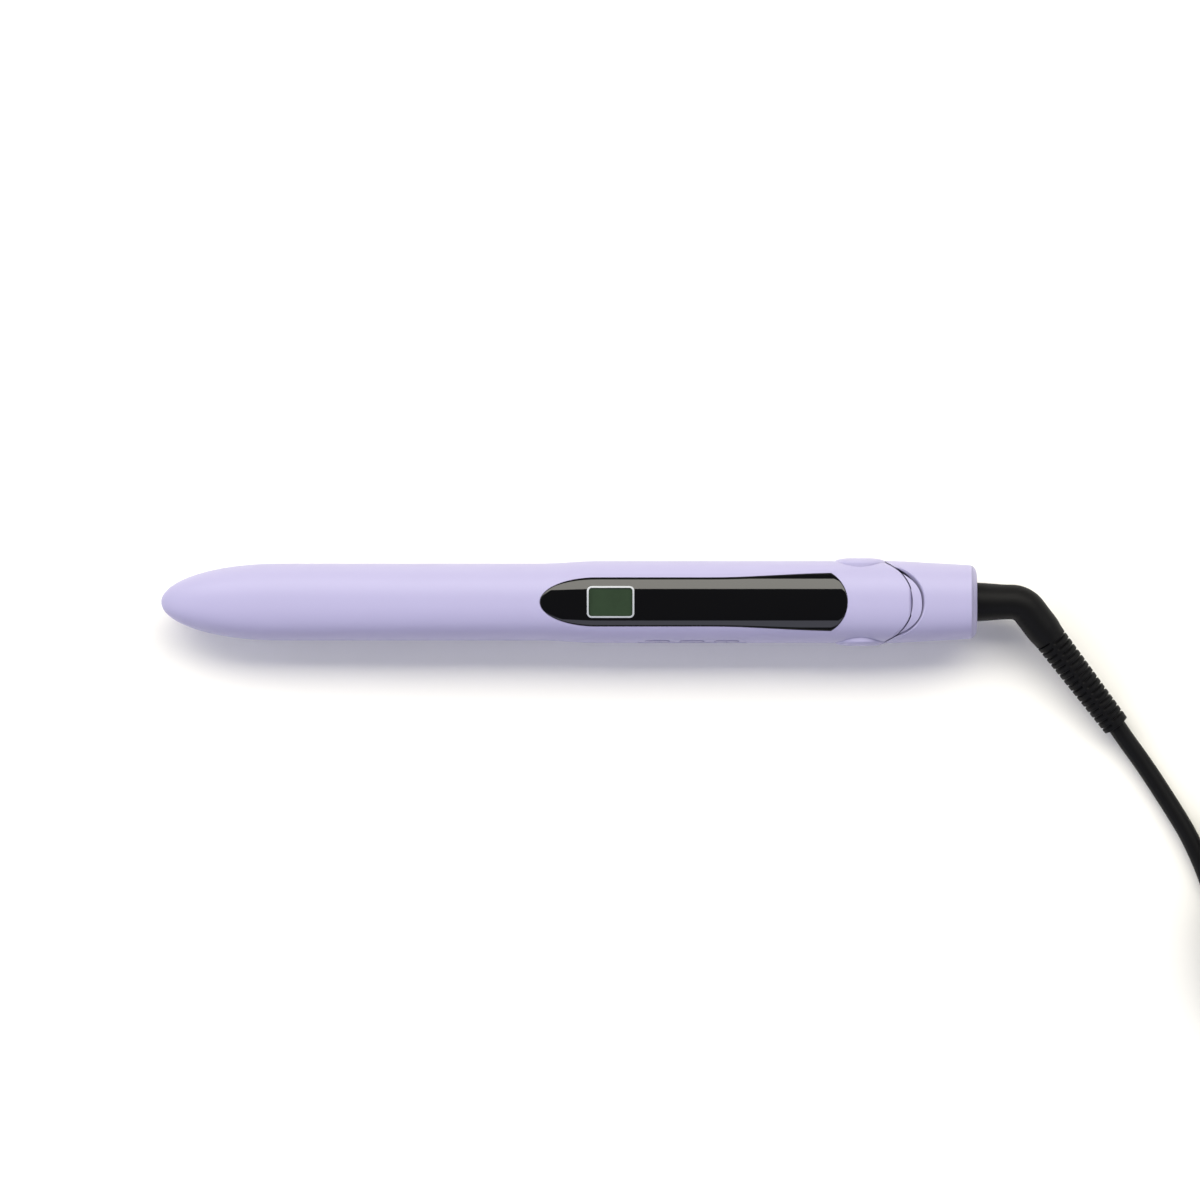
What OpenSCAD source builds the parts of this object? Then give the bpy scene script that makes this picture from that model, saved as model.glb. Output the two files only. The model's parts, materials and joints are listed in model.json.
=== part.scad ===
// Hinged hair straightening iron with floating heated plates, display window and swivel cord.
// X runs from the tips to the cord, Z is up, and the base face of the lower arm lies on Z = 0.

/* [Body] */
// Length of the body without the cord
body_len = 290; // [284:1:300]
// Height of the two closed arms
body_h = 30; // [30:0.5:31]
// Half width of the handle part
rear_half_w = 14.6; // [14.5:0.1:15]
// Half width of the plate part
front_half_w = 13.7; // [13.5:0.1:14]
// Length of the rounded tip
tip_len = 42; // [40:1:44]
// Wall thickness of the casings
wall = 1.8; // [1.6:0.1:2]
// Radius along the long edges of the body
corner_r = 10; // [9.5:0.5:10.5]

/* [Hinge] */
// Distance from the body's middle to the hinge pin
hinge_x = 103.5; // [103:0.5:104]
// Radius of the hinge pin
pin_r = 2; // [1.9:0.1:2.1]
// Radial clearance of running bores
running_gap = 0.05; // [0.02:0.01:0.08]
// Radius of the hinge caps
cap_r = 9.3; // [9:0.1:9.4]

/* [Plates] */
// Rear end of the heated plates
plate_x1 = -40; // [-44:1:-40]
// Width of the heated plates
plate_w = 20; // [19:0.5:20]
// Thickness of the heated plates
plate_t = 3; // [2.8:0.1:3]

/* [Controls] */
// Length of the control strip
strip_len = 38.4; // [38:0.1:40]
// Distance between buttons
button_pitch = 12.3; // [12:0.1:12.6]
// Length of a button
button_len = 8.6; // [8:0.1:9]

/* [Cord] */
// Diameter of the mains cord
cord_d = 6.5; // [6.4:0.1:6.5]
// Length of the plug's pins
plug_pin_l = 19; // [18:0.5:19]

/* [Hidden] */
$fn = 48;

lilac = [0.80, 0.76, 0.88];
dark = [0.06, 0.06, 0.07];
steel = [0.75, 0.75, 0.77];

eps = 0.01;
mid_z = body_h / 2;                 // height of the plane where the arms meet
tip_x = -body_len / 2;
tip_x1 = tip_x + tip_len;           // where the rounded tip ends
rear_x = body_len / 2;
end_ring_x = rear_x - 1.7;
collar_x = 112.8;                   // front face of the collar
tip_half_h = 13.2;                  // half height at the end of the rounded tip
full_h_x = -40;                     // from here on the body has its full height
rear_half_h = 13.5;
taper_x = 116;                      // where the collar starts to taper
rim_gap = 0.8;                      // from the meeting plane to each casing's rim
far = 60;                           // larger than any half width or half height

inner_cover_x1 = 114;               // rear end of the upper inner cover
cover_u0 = 1.3;                     // inner cover, measured from the meeting plane
cover_u1 = 3.3;
plate_u0 = 0.15;
plate_u1 = plate_u0 + plate_t;
heater_u1 = plate_u1 + 2.5;
clamp_u1 = heater_u1 + 0.8;
carrier_u0 = 7.6;
carrier_u1 = 9.0;
plate_x0 = -128;
heater_x0 = -112;
heater_x1 = -56;
plate_edge_inset = 3.7;             // from the body's outline to the plate's rounded front
plate_gap = 0.35;                   // around the plate in the inner cover

tail_r = 22.8;                      // the upper arm's tail, about the hinge axis
tail_plan_x = 107.2;                // centre of the tail's round end, seen from above
tail_plan_r = 14.6;
tail_half_w = 12.6;
well_x = 112;                       // centre of the collar's well
well_r = 14.2;
well_half_w = 12.9;
well_floor_z = 10;
well_deep_r = 12.4;
well_deep_z = 6;
bay_r = 9.6;                        // hinge cheeks turn in this radius
cheek_r = 9.2;
cheek_y0 = 11.4;
cheek_y1 = 13.7;
ear_y0 = 8;
ear_y1 = 11;
ear_r = 5;
cap_y1 = 15.65;

window_x0 = -10.2;
window_front_l = 20;                // length of the elliptical front end
window_flare = [[55, 0], [70, 0.6], [84, 1.35]];    // position, widening
window_x1 = 93;
window_arc_x = 98.8;
window_half_w = 8.6;
window_rear_half_w = 10.2;
window_t = 1.05;
lcd_x = 14.85;                      // centre of the display
lcd_l = 16.9;
lcd_w = 11.4;

strip_x = 43.8;
strip_u0 = 2.4;
strip_u1 = 8;
button_u = 5.2;
button_h = 3.4;
bezel_t = 1.15;
button_y0 = 12.3;                   // inner and outer end of a button
button_y1 = 14.7;

board_x0 = -24;
board_x1 = 76;
board_u0 = 7;
board_u1 = 8.6;
cover_screw_xs = [-134.5, -33, 86];
board_screw_xs = [-18, 70];
cover_boss_r = 2.6;
board_boss_r = 2.2;
screw_hole_r = 0.9;                 // pilot holes in the cover bosses
board_hole_r = 0.7;
carrier_x0 = -124;
carrier_x1 = -42;
carrier_w = 17;                     // of the carrier's bridge over the heater
carrier_leg_x0 = -112;
carrier_leg_x1 = -44;
carrier_foot_y = 11;                // outer face of the feet on the inner cover
carrier_foot_u = 5.4;
sensor_x = -84;                     // in the middle of the heater
sensor_r = 1.9;
passage_r = 3.6;                    // of the leads through the collar
button_flange = 0.6;                // wider than the button on each side

core_r = 5;                         // swivel core in its retainer
collector_r = 3.2;                  // its front end, under the slip rings
spigot_r = 3.4;                     // of the elbow, pressed into the core
spigot_x0 = 141;
flange_x0 = 136;                    // the core's flange holds it in the collar
flange_x1 = 138;
cavity_r = 8.5;
cavity_x0 = 129.5;
ring_xs = [131.2, 134];             // slip rings along the core
elbow_x0 = rear_x + 0.25;
elbow_corner_x = 161.3;
elbow_bend = 53.1;                  // degrees
leg_len = 56;                       // from the bend's corner
elbow_tilt = 12;
elbow_bend_r = 8.2;
bend_overlap = 0.3;                 // of the straight parts into the bend
elbow_r0 = 6.85;
elbow_r1 = 6.2;
rib_start = 16.7;                   // along the leg
rib_r0 = 5.75;
rib_r1 = 4.85;
rib_pitch = 2.5;
rib_count = 15;

// Cord route on the surface, from the elbow's end to the coil
leg_dir = [cos(elbow_bend), -sin(elbow_bend) * cos(elbow_tilt), -sin(elbow_bend) * sin(elbow_tilt)];
leg_end = [elbow_corner_x, 0, mid_z] + leg_len * leg_dir;
CORD_ROUTE = [
    [198.6, -49.1, 4.8], [202.9, -55.0, 4.0], [207.2, -61.2, 3.5], [211.4, -67.6, 3.3],
    [215.6, -74.2, 3.25], [219.9, -81.3, 3.25], [223.5, -88.4, 3.25], [226.5, -95.4, 3.25],
    [228.9, -102.4, 3.25]
];
// From the top of the coil into the plug
PLUG_ROUTE = [
    [285, -144, 22], [292, -141, 23], [298, -135.5, 24.2], [302.5, -128.5, 25.2],
    [305.2, -121, 26], [306, -114, 26.4]
];
// One lead of the lower heater, from the plate to the slip rings
LEAD_ROUTE = [
    [-39, 4.3, 8], [80, 4.3, 8], [87, 3.7, 8], [112, 4, 7.2], [119, 2.8, 7.2], [124, 2.4, 7.6],
    [134, 2.4, 8]
];
coil_centre = [276, -111, 0];
coil_mid_r = 35.75;
coil_w = 26;
coil_h = 19.5;
tie_t = 1.2;
tie_w = 12;
tie_angle = -90;
plug_pos = [306, -114, 26.4];
plug_relief_l = 12;
plug_l = 36;
plug_w = 35.3;
plug_h = 13.7;
plug_pin_pitch = 19;

function smooth(t) = let (c = min(1, max(0, t))) c * c * (3 - 2 * c);
function mix(a, b, t) = a + (b - a) * t;
function unit(v) = v / norm(v);

// Half width of the body behind the rounded tip
function half_width(x) = x < taper_x
    ? mix(front_half_w, rear_half_w, smooth((x + 10) / 21))
    : mix(rear_half_w, 13, (x - taper_x) / (rear_x - taper_x));
// Half height of the body behind the rounded tip
function half_height(x) = x < taper_x
    ? mix(tip_half_h, mid_z, smooth((x - tip_x1) / (full_h_x - tip_x1)))
    : mix(mid_z, rear_half_h, (x - taper_x) / (rear_x - taper_x));

// One side of an outline: the elliptical tip, then the stations behind it
function tip_side(w, inset) = [for (a = [0:10:80])
    [tip_x1 - (tip_len - inset) * cos(a), (w - inset) * sin(a)]];
function plan_side(inset) = concat(tip_side(front_half_w, inset),
    [for (x = [tip_x1, -10, -3, 4, 11, taper_x, rear_x - inset]) [x, half_width(x) - inset]]);
function profile_side(inset) = concat(tip_side(tip_half_h, inset),
    [for (x = [tip_x1, -88, -72, -56, full_h_x, taper_x, rear_x - inset])
        [x, half_height(x) - inset]]);
function both_sides(side) = concat(side,
    [for (i = [len(side) - 1:-1:1]) [side[i].x, -side[i].y]]);

module plan_prism(inset, z0, z1) {
    translate([0, 0, z0]) linear_extrude(z1 - z0) polygon(both_sides(plan_side(inset)));
}

module rounded_rect(w, h, r) {
    square([w - 2 * r, h], center = true);
    square([w, h - 2 * r], center = true);
    for (sx = [-1, 1], sy = [-1, 1])
        translate([sx * (w / 2 - r), sy * (h / 2 - r)]) circle(r);
}

// The whole body as one solid, drawn in by inset
module body_solid(inset) {
    intersection() {
        plan_prism(inset, -1, body_h + 1);
        translate([0, far, mid_z]) rotate([90, 0, 0]) linear_extrude(2 * far)
            polygon(both_sides(profile_side(inset)));
        translate([tip_x - 1, 0, mid_z]) rotate([90, 0, 90]) linear_extrude(body_len + 2)
            rounded_rect(2 * (rear_half_w - inset), body_h - 2 * inset, corner_r - inset);
    }
}

// A box given by its lowest and highest corner
module span(a, b) {
    translate(a) cube(b - a);
}

module along_y(r, y0, y1) {
    translate([hinge_x, y1, mid_z]) rotate([90, 0, 0]) cylinder(r = r, h = y1 - y0);
}

// The same disc on both sides of the body, about the hinge axis
module both_along_y(r, y0, y1) {
    along_y(r, y0, y1);
    along_y(r, -y1, -y0);
}

// Round end of the upper arm behind the hinge
module arm_end(inset) {
    intersection() {
        union() {
            span([tip_x - 1, -far, 0], [hinge_x, far, far]);
            along_y(tail_r - inset, -far, far);
        }
        union() {
            span([tip_x - 1, -far, 0], [tail_plan_x, far, far]);
            translate([tail_plan_x, 0, 0]) cylinder(r = tail_plan_r - inset, h = far);
        }
        union() {
            span([tip_x - 1, -far, 0], [collar_x - 0.4, far, far]);
            span([collar_x - 0.41, -tail_half_w + inset, 0], [rear_x, tail_half_w - inset, far]);
        }
    }
}

// Mirrors what is drawn above the meeting plane to the lower arm
module lower() {
    translate([0, 0, body_h]) mirror([0, 0, 1]) children();
}

// Outline of the window: half an ellipse at the front, flared with an arc at the rear
function window_outline(gap) = let (
    rise = window_arc_x - window_x1,
    rear_r = (pow(window_rear_half_w, 2) + rise * rise) / (2 * rise),
    rear_a = asin(window_rear_half_w / rear_r),
    side = [for (p = window_flare) [p.x, window_half_w + p.y + gap]]
) concat(
    [for (a = [90:15:270]) [window_x0 + window_front_l + (window_front_l + gap) * cos(a),
        (window_half_w + gap) * sin(a)]],
    [for (p = side) [p.x, -p.y]],
    [for (a = [-1:0.25:1]) [window_arc_x - rear_r, 0]
        + (rear_r + gap) * [cos(a * rear_a), sin(a * rear_a)]],
    [for (i = [len(side) - 1:-1:0]) side[i]]);

module window_prism(gap) {
    translate([0, 0, mid_z + 5]) linear_extrude(far) polygon(window_outline(gap));
}

module buttons_along_strip() {
    for (i = [-1, 0, 1]) translate([strip_x + i * button_pitch, 0, mid_z + button_u]) children();
}

// A button's outline, run inwards from the side of the body
module button_slot(gap, y0 = 10, y1 = 16) {
    translate([0, -y0, 0]) rotate([90, 0, 0]) linear_extrude(y1 - y0)
        rounded_rect(button_len + 2 * gap, button_h + 2 * gap, button_h / 2 - 0.1);
}

module strip_block(gap, y0, y1) {
    span([strip_x - strip_len / 2 - gap, -y1, mid_z + strip_u0 - gap],
        [strip_x + strip_len / 2 + gap, -y0, mid_z + strip_u1 + gap]);
}

// Screw bosses that stand between an inner cover and its casing
module cover_bosses() {
    intersection() {
        for (x = cover_screw_xs) translate([x, 0, mid_z + cover_u1])
            difference() {
                cylinder(r = cover_boss_r, h = far);
                cylinder(r = screw_hole_r, h = 4.4);
            }
        body_solid(window_t + 0.4);
    }
}

module upper_casing() {
    color(lilac) {
        difference() {
            intersection() {
                body_solid(0);
                arm_end(0);
                span([tip_x - 1, -far, mid_z + rim_gap], [collar_x + 20, far, far]);
            }
            intersection() {
                body_solid(wall);
                arm_end(wall);
            }
            both_along_y(bay_r, ear_y1 + 0.1, far);
            difference() {
                window_prism(0.05);
                body_solid(window_t + 0.05);
            }
            span([lcd_x - lcd_l / 2 - 0.2, -lcd_w / 2 - 0.2, 20],
                [lcd_x + lcd_l / 2 + 0.2, lcd_w / 2 + 0.2, far]);
            strip_block(0.05, rear_half_w - bezel_t - 0.05, far);
            buttons_along_strip() button_slot(0.15);
        }
        cover_bosses();
        intersection() {
            for (x = board_screw_xs) translate([x, 0, mid_z + board_u1])
                difference() {
                    cylinder(r = board_boss_r, h = far);
                    cylinder(r = board_hole_r, h = 3);
                }
            body_solid(window_t + 0.4);
        }
    }
}

module display_window() {
    color(dark) difference() {
        intersection() {
            body_solid(0);
            window_prism(0);
        }
        body_solid(window_t);
        span([lcd_x - lcd_l / 2, -lcd_w / 2, 20], [lcd_x + lcd_l / 2, lcd_w / 2, far]);
    }
}

module lcd_frame() {
    color(steel) translate([lcd_x, 0, mid_z + 13.95]) difference() {
        linear_extrude(0.9) rounded_rect(lcd_l - 0.1, lcd_w - 0.1, 1.6);
        translate([0, 0, -1]) linear_extrude(far) rounded_rect(lcd_l - 1.4, lcd_w - 1.4, 1);
    }
}

module lcd_panel() {
    color([0.16, 0.2, 0.15]) translate([lcd_x, 0, mid_z + 12.5]) linear_extrude(1.45)
        rounded_rect(lcd_l - 0.5, lcd_w - 0.5, 1);
}

module lcd_holder() {
    color("white") translate([lcd_x, 0, mid_z + board_u1]) difference() {
        linear_extrude(12.5 - board_u1) square([lcd_l + 2, lcd_w + 2], center = true);
        translate([0, 0, -1]) linear_extrude(far) square([lcd_l - 2, lcd_w - 2], center = true);
    }
}

module control_board() {
    color("darkgreen") difference() {
        span([board_x0, -9, mid_z + board_u0], [board_x1, 9, mid_z + board_u1]);
        for (x = board_screw_xs) translate([x, 0, mid_z]) cylinder(r = 0.9, h = 20);
    }
}

// A small screw that points up, with its head at the bottom
module screw(head_r, head_h, shank_r, shank_l) {
    difference() {
        cylinder(r = head_r, h = head_h);
        translate([0, 0, -eps]) linear_extrude(head_h / 2) {
            square([head_r * 1.3, 0.4], center = true);
            square([0.4, head_r * 1.3], center = true);
        }
    }
    translate([0, 0, head_h - eps]) cylinder(r = shank_r, h = shank_l);
}

module board_screws() {
    color(steel) for (x = board_screw_xs)
        translate([x, 0, mid_z + board_u0 - 1]) screw(1.6, 1, 0.7, 4.2);
}

module board_switches() {
    color("dimgray") buttons_along_strip() {
        span([-3, -10.6, -1.7], [3, -7.5, board_u0 - button_u]);
        translate([0, -10.5, 0]) rotate([90, 0, 0]) cylinder(r = 0.8, h = 0.8);
    }
}

module button_bezel() {
    color(lilac) difference() {
        intersection() {
            body_solid(0);
            strip_block(0, rear_half_w - bezel_t, far);
        }
        buttons_along_strip() button_slot(0.15);
    }
}

module button(i) {
    color("gray") translate([strip_x + i * button_pitch, 0, mid_z + button_u]) {
        button_slot(0, button_y0, button_y1);
        // flange that keeps the button in its slot
        span([-button_len / 2 - button_flange, -button_y0 - 0.15, -button_h / 2 - 0.1],
            [button_len / 2 + button_flange, -button_y0 + 0.35, button_h / 2 - 0.1]);
    }
}

module power_button() { button(-1); }
module temp_down_button() { button(0); }
module temp_up_button() { button(1); }

module inner_cover_plate(x1) {
    difference() {
        intersection() {
            plan_prism(wall + 0.1, mid_z + cover_u0, mid_z + cover_u1);
            span([tip_x, -far, 0], [x1, far, far]);
            body_solid(wall + 0.05);
        }
        intersection() {
            plan_prism(plate_edge_inset - plate_gap, 0, body_h);
            span([plate_x0 - plate_gap, -plate_w / 2 - plate_gap, 0],
                [plate_x1 + plate_gap, plate_w / 2 + plate_gap, far]);
        }
        for (x = cover_screw_xs) translate([x, 0, mid_z]) {
            cylinder(r = 1.1, h = far);
            cylinder(r = 2.1, h = 2.4);
        }
    }
}

module upper_inner_cover() {
    color(dark) difference() {
        union() {
            intersection() {
                inner_cover_plate(inner_cover_x1);
                arm_end(wall + 0.1);
            }
            both_along_y(ear_r, ear_y0, ear_y1);
        }
        both_along_y(bay_r, ear_y1, far);
        span([hinge_x - ear_r, -ear_y0, 0], [hinge_x + ear_r, ear_y0, far]);
        along_y(pin_r + running_gap, -far, far);
    }
}

module lower_inner_cover() {
    color(dark) lower() inner_cover_plate(91);
}

// One wall of the carrier's legs, from (y0, u0) to (y1, u1)
module carrier_leg(y0, u0, y1, u1) {
    span([carrier_leg_x0, y0, mid_z + u0], [carrier_leg_x1, y1, mid_z + u1]);
}

module carrier() {
    color("dimgray") {
        span([carrier_x0, -carrier_w / 2, mid_z + carrier_u0],
            [carrier_x1, carrier_w / 2, mid_z + carrier_u1]);
        for (s = [0, 1]) mirror([0, s, 0]) {
            carrier_leg(carrier_w / 2 - 0.3, carrier_foot_u - 1, carrier_w / 2 + 0.7, carrier_u1);
            carrier_leg(carrier_w / 2 + 0.6, carrier_foot_u - 1, carrier_foot_y, carrier_foot_u);
            carrier_leg(carrier_foot_y - 0.6, cover_u1, carrier_foot_y, carrier_foot_u);
        }
    }
}

module upper_plate_carrier() { carrier(); }
module lower_plate_carrier() { lower() carrier(); }

// Rings of points along a path, for a round tube
function path_dir(p, i) = unit(p[min(i + 1, len(p) - 1)] - p[max(i - 1, 0)]);
function ring(c, d, r, n) = let (s = unit(cross(d, [0, 0, 1])), u = cross(s, d))
    [for (k = [0:n - 1]) c + r * (cos(360 * k / n) * s + sin(360 * k / n) * u)];
function tube_points(p, r, n) = [for (i = [0:len(p) - 1]) each ring(p[i], path_dir(p, i), r, n)];
function tube_faces(m, n) = concat(
    [[for (k = [0:n - 1]) k]],
    [[for (k = [n - 1:-1:0]) (m - 1) * n + k]],
    [for (i = [0:m - 2], k = [0:n - 1])
        [i * n + k, (i + 1) * n + k, (i + 1) * n + (k + 1) % n, i * n + (k + 1) % n]]);

module tube(p, r, n) {
    polyhedron(tube_points(p, r, n), tube_faces(len(p), n), convexity = 10);
}

function helix(r, len, turns, steps) = [for (i = [0:turns * steps])
    [r * cos(360 * i / steps), r * sin(360 * i / steps), len * i / (turns * steps)]];

module plate_spring_set() {
    color(steel) for (x = [-119, -47], y = [-4.5, 4.5])
        translate([x, y, mid_z + plate_u1 + 0.4])
            tube(helix(2, carrier_u0 - plate_u1 - 0.8, 4, 10), 0.35, 6);
}

module upper_plate_springs() { plate_spring_set(); }
module lower_plate_springs() { lower() plate_spring_set(); }

module cover_screw_set() {
    color(steel) for (x = cover_screw_xs)
        translate([x, 0, mid_z + 1.5]) screw(1.9, 0.9, 0.85, 4.1);
}

module upper_cover_screws() { cover_screw_set(); }
module lower_cover_screws() { lower() cover_screw_set(); }

module upper_heater_leads() {
    color("firebrick") for (y = [-4.5, 4.5])
        translate([plate_x1 + 1, y, mid_z + 6.1]) rotate([0, 90, 0]) cylinder(r = 0.8, h = 18);
}

module lower_heater_leads() {
    color("firebrick") for (s = [1, -1])
        tube([for (p = LEAD_ROUTE) [p.x, s * p.y, p.z]], 0.8, 8);
}

module heated_plate() {
    color("gainsboro") intersection() {
        plan_prism(plate_edge_inset, mid_z + plate_u0, mid_z + plate_u1);
        span([plate_x0, -plate_w / 2, 0], [plate_x1, plate_w / 2, far]);
    }
}

module heater() {
    color("ivory") span([heater_x0, -6, mid_z + plate_u1], [heater_x1, 6, mid_z + heater_u1]);
}

module heater_clamp() {
    color(steel) difference() {
        span([-108, -7.4, mid_z + plate_u1], [-60, 7.4, mid_z + clamp_u1]);
        span([-109, -6.1, 0], [-59, 6.1, mid_z + heater_u1]);
        translate([sensor_x, 0, mid_z]) cylinder(r = sensor_r + 0.15, h = far);
    }
}

module sensor() {
    color("orange") translate([sensor_x, 0, mid_z + heater_u1]) cylinder(r = sensor_r, h = 0.9);
}

module upper_plate() { heated_plate(); }
module upper_heating_element() { heater(); }
module upper_heater_clamp() { heater_clamp(); }
module upper_sensor() { sensor(); }
module lower_plate() { lower() heated_plate(); }
module lower_heating_element() { lower() heater(); }
module lower_heater_clamp() { lower() heater_clamp(); }
module lower_sensor() { lower() sensor(); }

module lower_casing() {
    color(lilac) difference() {
        union() {
            difference() {
                intersection() {
                    body_solid(0);
                    span([tip_x - 1, -far, -1], [collar_x, far, mid_z - rim_gap]);
                }
                body_solid(wall);
            }
            lower() cover_bosses();
            both_along_y(cheek_r, cheek_y0, cheek_y1);
            for (s = [0, 1]) mirror([0, s, 0])
                span([hinge_x - cheek_r, cheek_y0, 6], [hinge_x + 8.4, cheek_y1, mid_z]);
        }
        both_along_y(cap_r + 0.2, cheek_y1, far);
        along_y(pin_r + 0.02, -far, far);
    }
}

// Room for the sides of the upper arm's tail as the arm opens
module tail_sweep() {
    intersection() {
        for (s = [0, 1]) mirror([0, s, 0])
            translate([hinge_x, 0, mid_z]) rotate([-90, 0, 0]) rotate_extrude()
                polygon([[0, tail_half_w - 0.1], [14.4, tail_half_w - 0.1], [13.6, 13.5],
                    [12.6, 14.1], [11, 14.8], [0, 14.8]]);
        span([collar_x - 1, -far, mid_z - 3], [rear_x, far, far]);
    }
}

module rear_collar() {
    color(lilac) difference() {
        intersection() {
            body_solid(0);
            span([collar_x, -far, -1], [end_ring_x, far, far]);
        }
        intersection() {
            translate([well_x, 0, well_floor_z]) cylinder(r = well_r, h = far);
            span([collar_x - 1, -well_half_w, 0], [rear_x, well_half_w, far]);
        }
        translate([well_x, 0, well_deep_z]) cylinder(r = well_deep_r, h = far);
        tail_sweep();
        translate([cavity_x0, 0, mid_z]) rotate([0, 90, 0]) cylinder(r = cavity_r, h = far);
        translate([120, 0, 8]) rotate([0, 90, 0]) cylinder(r = passage_r, h = 12);
    }
}

module collar_end_ring() {
    h = 2 * half_height(end_ring_x);
    w = 2 * half_width(end_ring_x);
    color(lilac) translate([end_ring_x, 0, mid_z]) rotate([90, 0, 90]) difference() {
        union() {
            linear_extrude(0.9) rounded_rect(w - 0.2, h - 0.2, corner_r - 0.5);
            linear_extrude(1.7) rounded_rect(w - 1.6, h - 1.6, corner_r - 1.2);
        }
        translate([0, 0, -1]) cylinder(r = core_r + 0.5, h = 5);
    }
}

module hinge_pin() {
    color(steel) along_y(pin_r, -cheek_y1, cheek_y1);
}

module hinge_cap() {
    translate([hinge_x, cheek_y1, mid_z]) rotate([-90, 0, 0]) rotate_extrude()
        polygon([[0, 0], [cap_r, 0], [cap_r, 0.9], [cap_r - 0.7, 1.5],
            [cap_r - 2.2, cap_y1 - cheek_y1], [0, cap_y1 - cheek_y1]]);
}

module hinge_cap_left() { color(lilac) hinge_cap(); }
module hinge_cap_right() { color(lilac) mirror([0, 1, 0]) hinge_cap(); }

// Torsion spring about the hinge pin, with both legs towards the tips
module hinge_spring() {
    half_l = 5;
    wire_r = 0.55;
    coil_r = 3.1;
    color(steel) translate([hinge_x, 0, mid_z]) rotate([90, 0, 0]) {
        translate([0, 0, -half_l]) tube(concat(
            [[-12, -coil_r - 5, -0.01], [-6, -coil_r - 2, -0.01], [-2, -coil_r, -0.01]],
            [for (p = helix(coil_r, 2 * half_l, 7, 12)) [p.y, -p.x, p.z]],
            [[-3, -coil_r + 0.6, 2 * half_l + 0.4], [-8, -1.2, 2 * half_l + 0.6]]), wire_r, 6);
    }
}

module along_x(r, x0, x1) {
    translate([x0, 0, mid_z]) rotate([0, 90, 0]) cylinder(r = r, h = x1 - x0);
}

module swivel_retainer() {
    color("dimgray") difference() {
        along_x(cavity_r - 0.03, flange_x1 + 0.3, end_ring_x);
        along_x(core_r + running_gap, flange_x1, rear_x);
    }
}

module swivel_core() {
    color("goldenrod") difference() {
        union() {
            along_x(collector_r, 130.2, flange_x0);
            along_x(7, flange_x0, flange_x1);
            along_x(core_r, flange_x1, rear_x);
        }
        along_x(spigot_r, spigot_x0, far + rear_x);
    }
}

module slip_rings() {
    color("gold") for (x = ring_xs) difference() {
        along_x(collector_r + 0.45, x - 0.8, x + 0.8);
        along_x(collector_r, x - 1, x + 1);
    }
}

module contact_leaves() {
    color("gold") for (x = ring_xs)
        span([x - 0.6, -1.3, 6.9], [x + 0.6, 1.3, mid_z - collector_r - 0.6]);
}

// The elbow's leg runs along its own Z axis from the bend's corner
module elbow_leg() {
    tangent_l = elbow_bend_r * tan(elbow_bend / 2);
    rib_end = rib_start + rib_count * rib_pitch;
    rotate_extrude() polygon(concat(
        [[0, tangent_l - bend_overlap], [elbow_r1, tangent_l - bend_overlap],
            [elbow_r1, 12], [rib_r0, rib_start]],
        [for (i = [0:rib_count - 1]) let (
            z = rib_start + i * rib_pitch,
            r = mix(rib_r0, rib_r1, i / rib_count)
        ) each [[r, z + 0.7], [r - 0.6, z + 0.9], [r - 0.6, z + 1.7], [r, z + 1.9]]],
        [[rib_r1, rib_end + 0.4], [rib_r1 - 0.4, leg_len], [0, leg_len]]));
}

module cord_elbow() {
    tangent_l = elbow_bend_r * tan(elbow_bend / 2);
    color(dark) {
        translate([0, 0, mid_z]) rotate([elbow_tilt, 0, 0]) {
            translate([elbow_x0, 0, 0]) rotate([0, 90, 0])
                cylinder(r1 = elbow_r0, r2 = elbow_r1,
                    h = elbow_corner_x - tangent_l - elbow_x0 + bend_overlap);
            translate([elbow_corner_x - tangent_l, -elbow_bend_r, 0]) rotate([0, 0, 90 - elbow_bend])
                rotate_extrude(angle = elbow_bend) translate([elbow_bend_r, 0])
                    circle(elbow_r1 - 0.1);
            translate([elbow_corner_x, 0, 0]) rotate([0, 0, -elbow_bend]) rotate([0, 90, 0])
                elbow_leg();
        }
        along_x(spigot_r, spigot_x0 + 0.2, elbow_x0 + 1);
    }
}

module cord() {
    color(dark) {
        tube(concat([leg_end], CORD_ROUTE), cord_d / 2, 12);
        tube(PLUG_ROUTE, cord_d / 2, 12);
    }
}

module bundle_section(grow) {
    translate([coil_mid_r, coil_h / 2]) rounded_rect(coil_w + 2 * grow, coil_h + 2 * grow, 3.2);
}

module tie_slab() {
    rotate([0, 0, tie_angle]) translate([0, -tie_w / 2, -1]) cube([far, tie_w, far]);
}

module cord_coil() {
    color(dark) translate(coil_centre) difference() {
        rotate_extrude() bundle_section(0);
        difference() {
            intersection() {
                rotate_extrude() bundle_section(1);
                tie_slab();
            }
            rotate_extrude() bundle_section(-tie_t);
        }
    }
}

module coil_tie() {
    color("gray") translate(coil_centre) difference() {
        intersection() {
            rotate_extrude() bundle_section(0);
            tie_slab();
        }
        rotate_extrude() bundle_section(-tie_t);
    }
}

module plug_body() {
    back = plug_relief_l;
    front = plug_relief_l + plug_l;
    half = plug_w / 2;
    color(dark) translate(plug_pos) {
        rotate([-90, 0, 0]) cylinder(r1 = 4.2, r2 = 5.6, h = plug_relief_l + 2);
        intersection() {
            translate([0, 0, -plug_h / 2]) linear_extrude(plug_h) polygon([
                [-6, back], [6, back], [half - 4, back + 16], [half, back + 24], [half, front],
                [-half, front], [-half, back + 24], [-half + 4, back + 16]]);
            rotate([90, 0, 0]) translate([0, 0, -far - front]) linear_extrude(2 * far)
                rounded_rect(plug_w, plug_h, 4.5);
        }
    }
}

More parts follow.
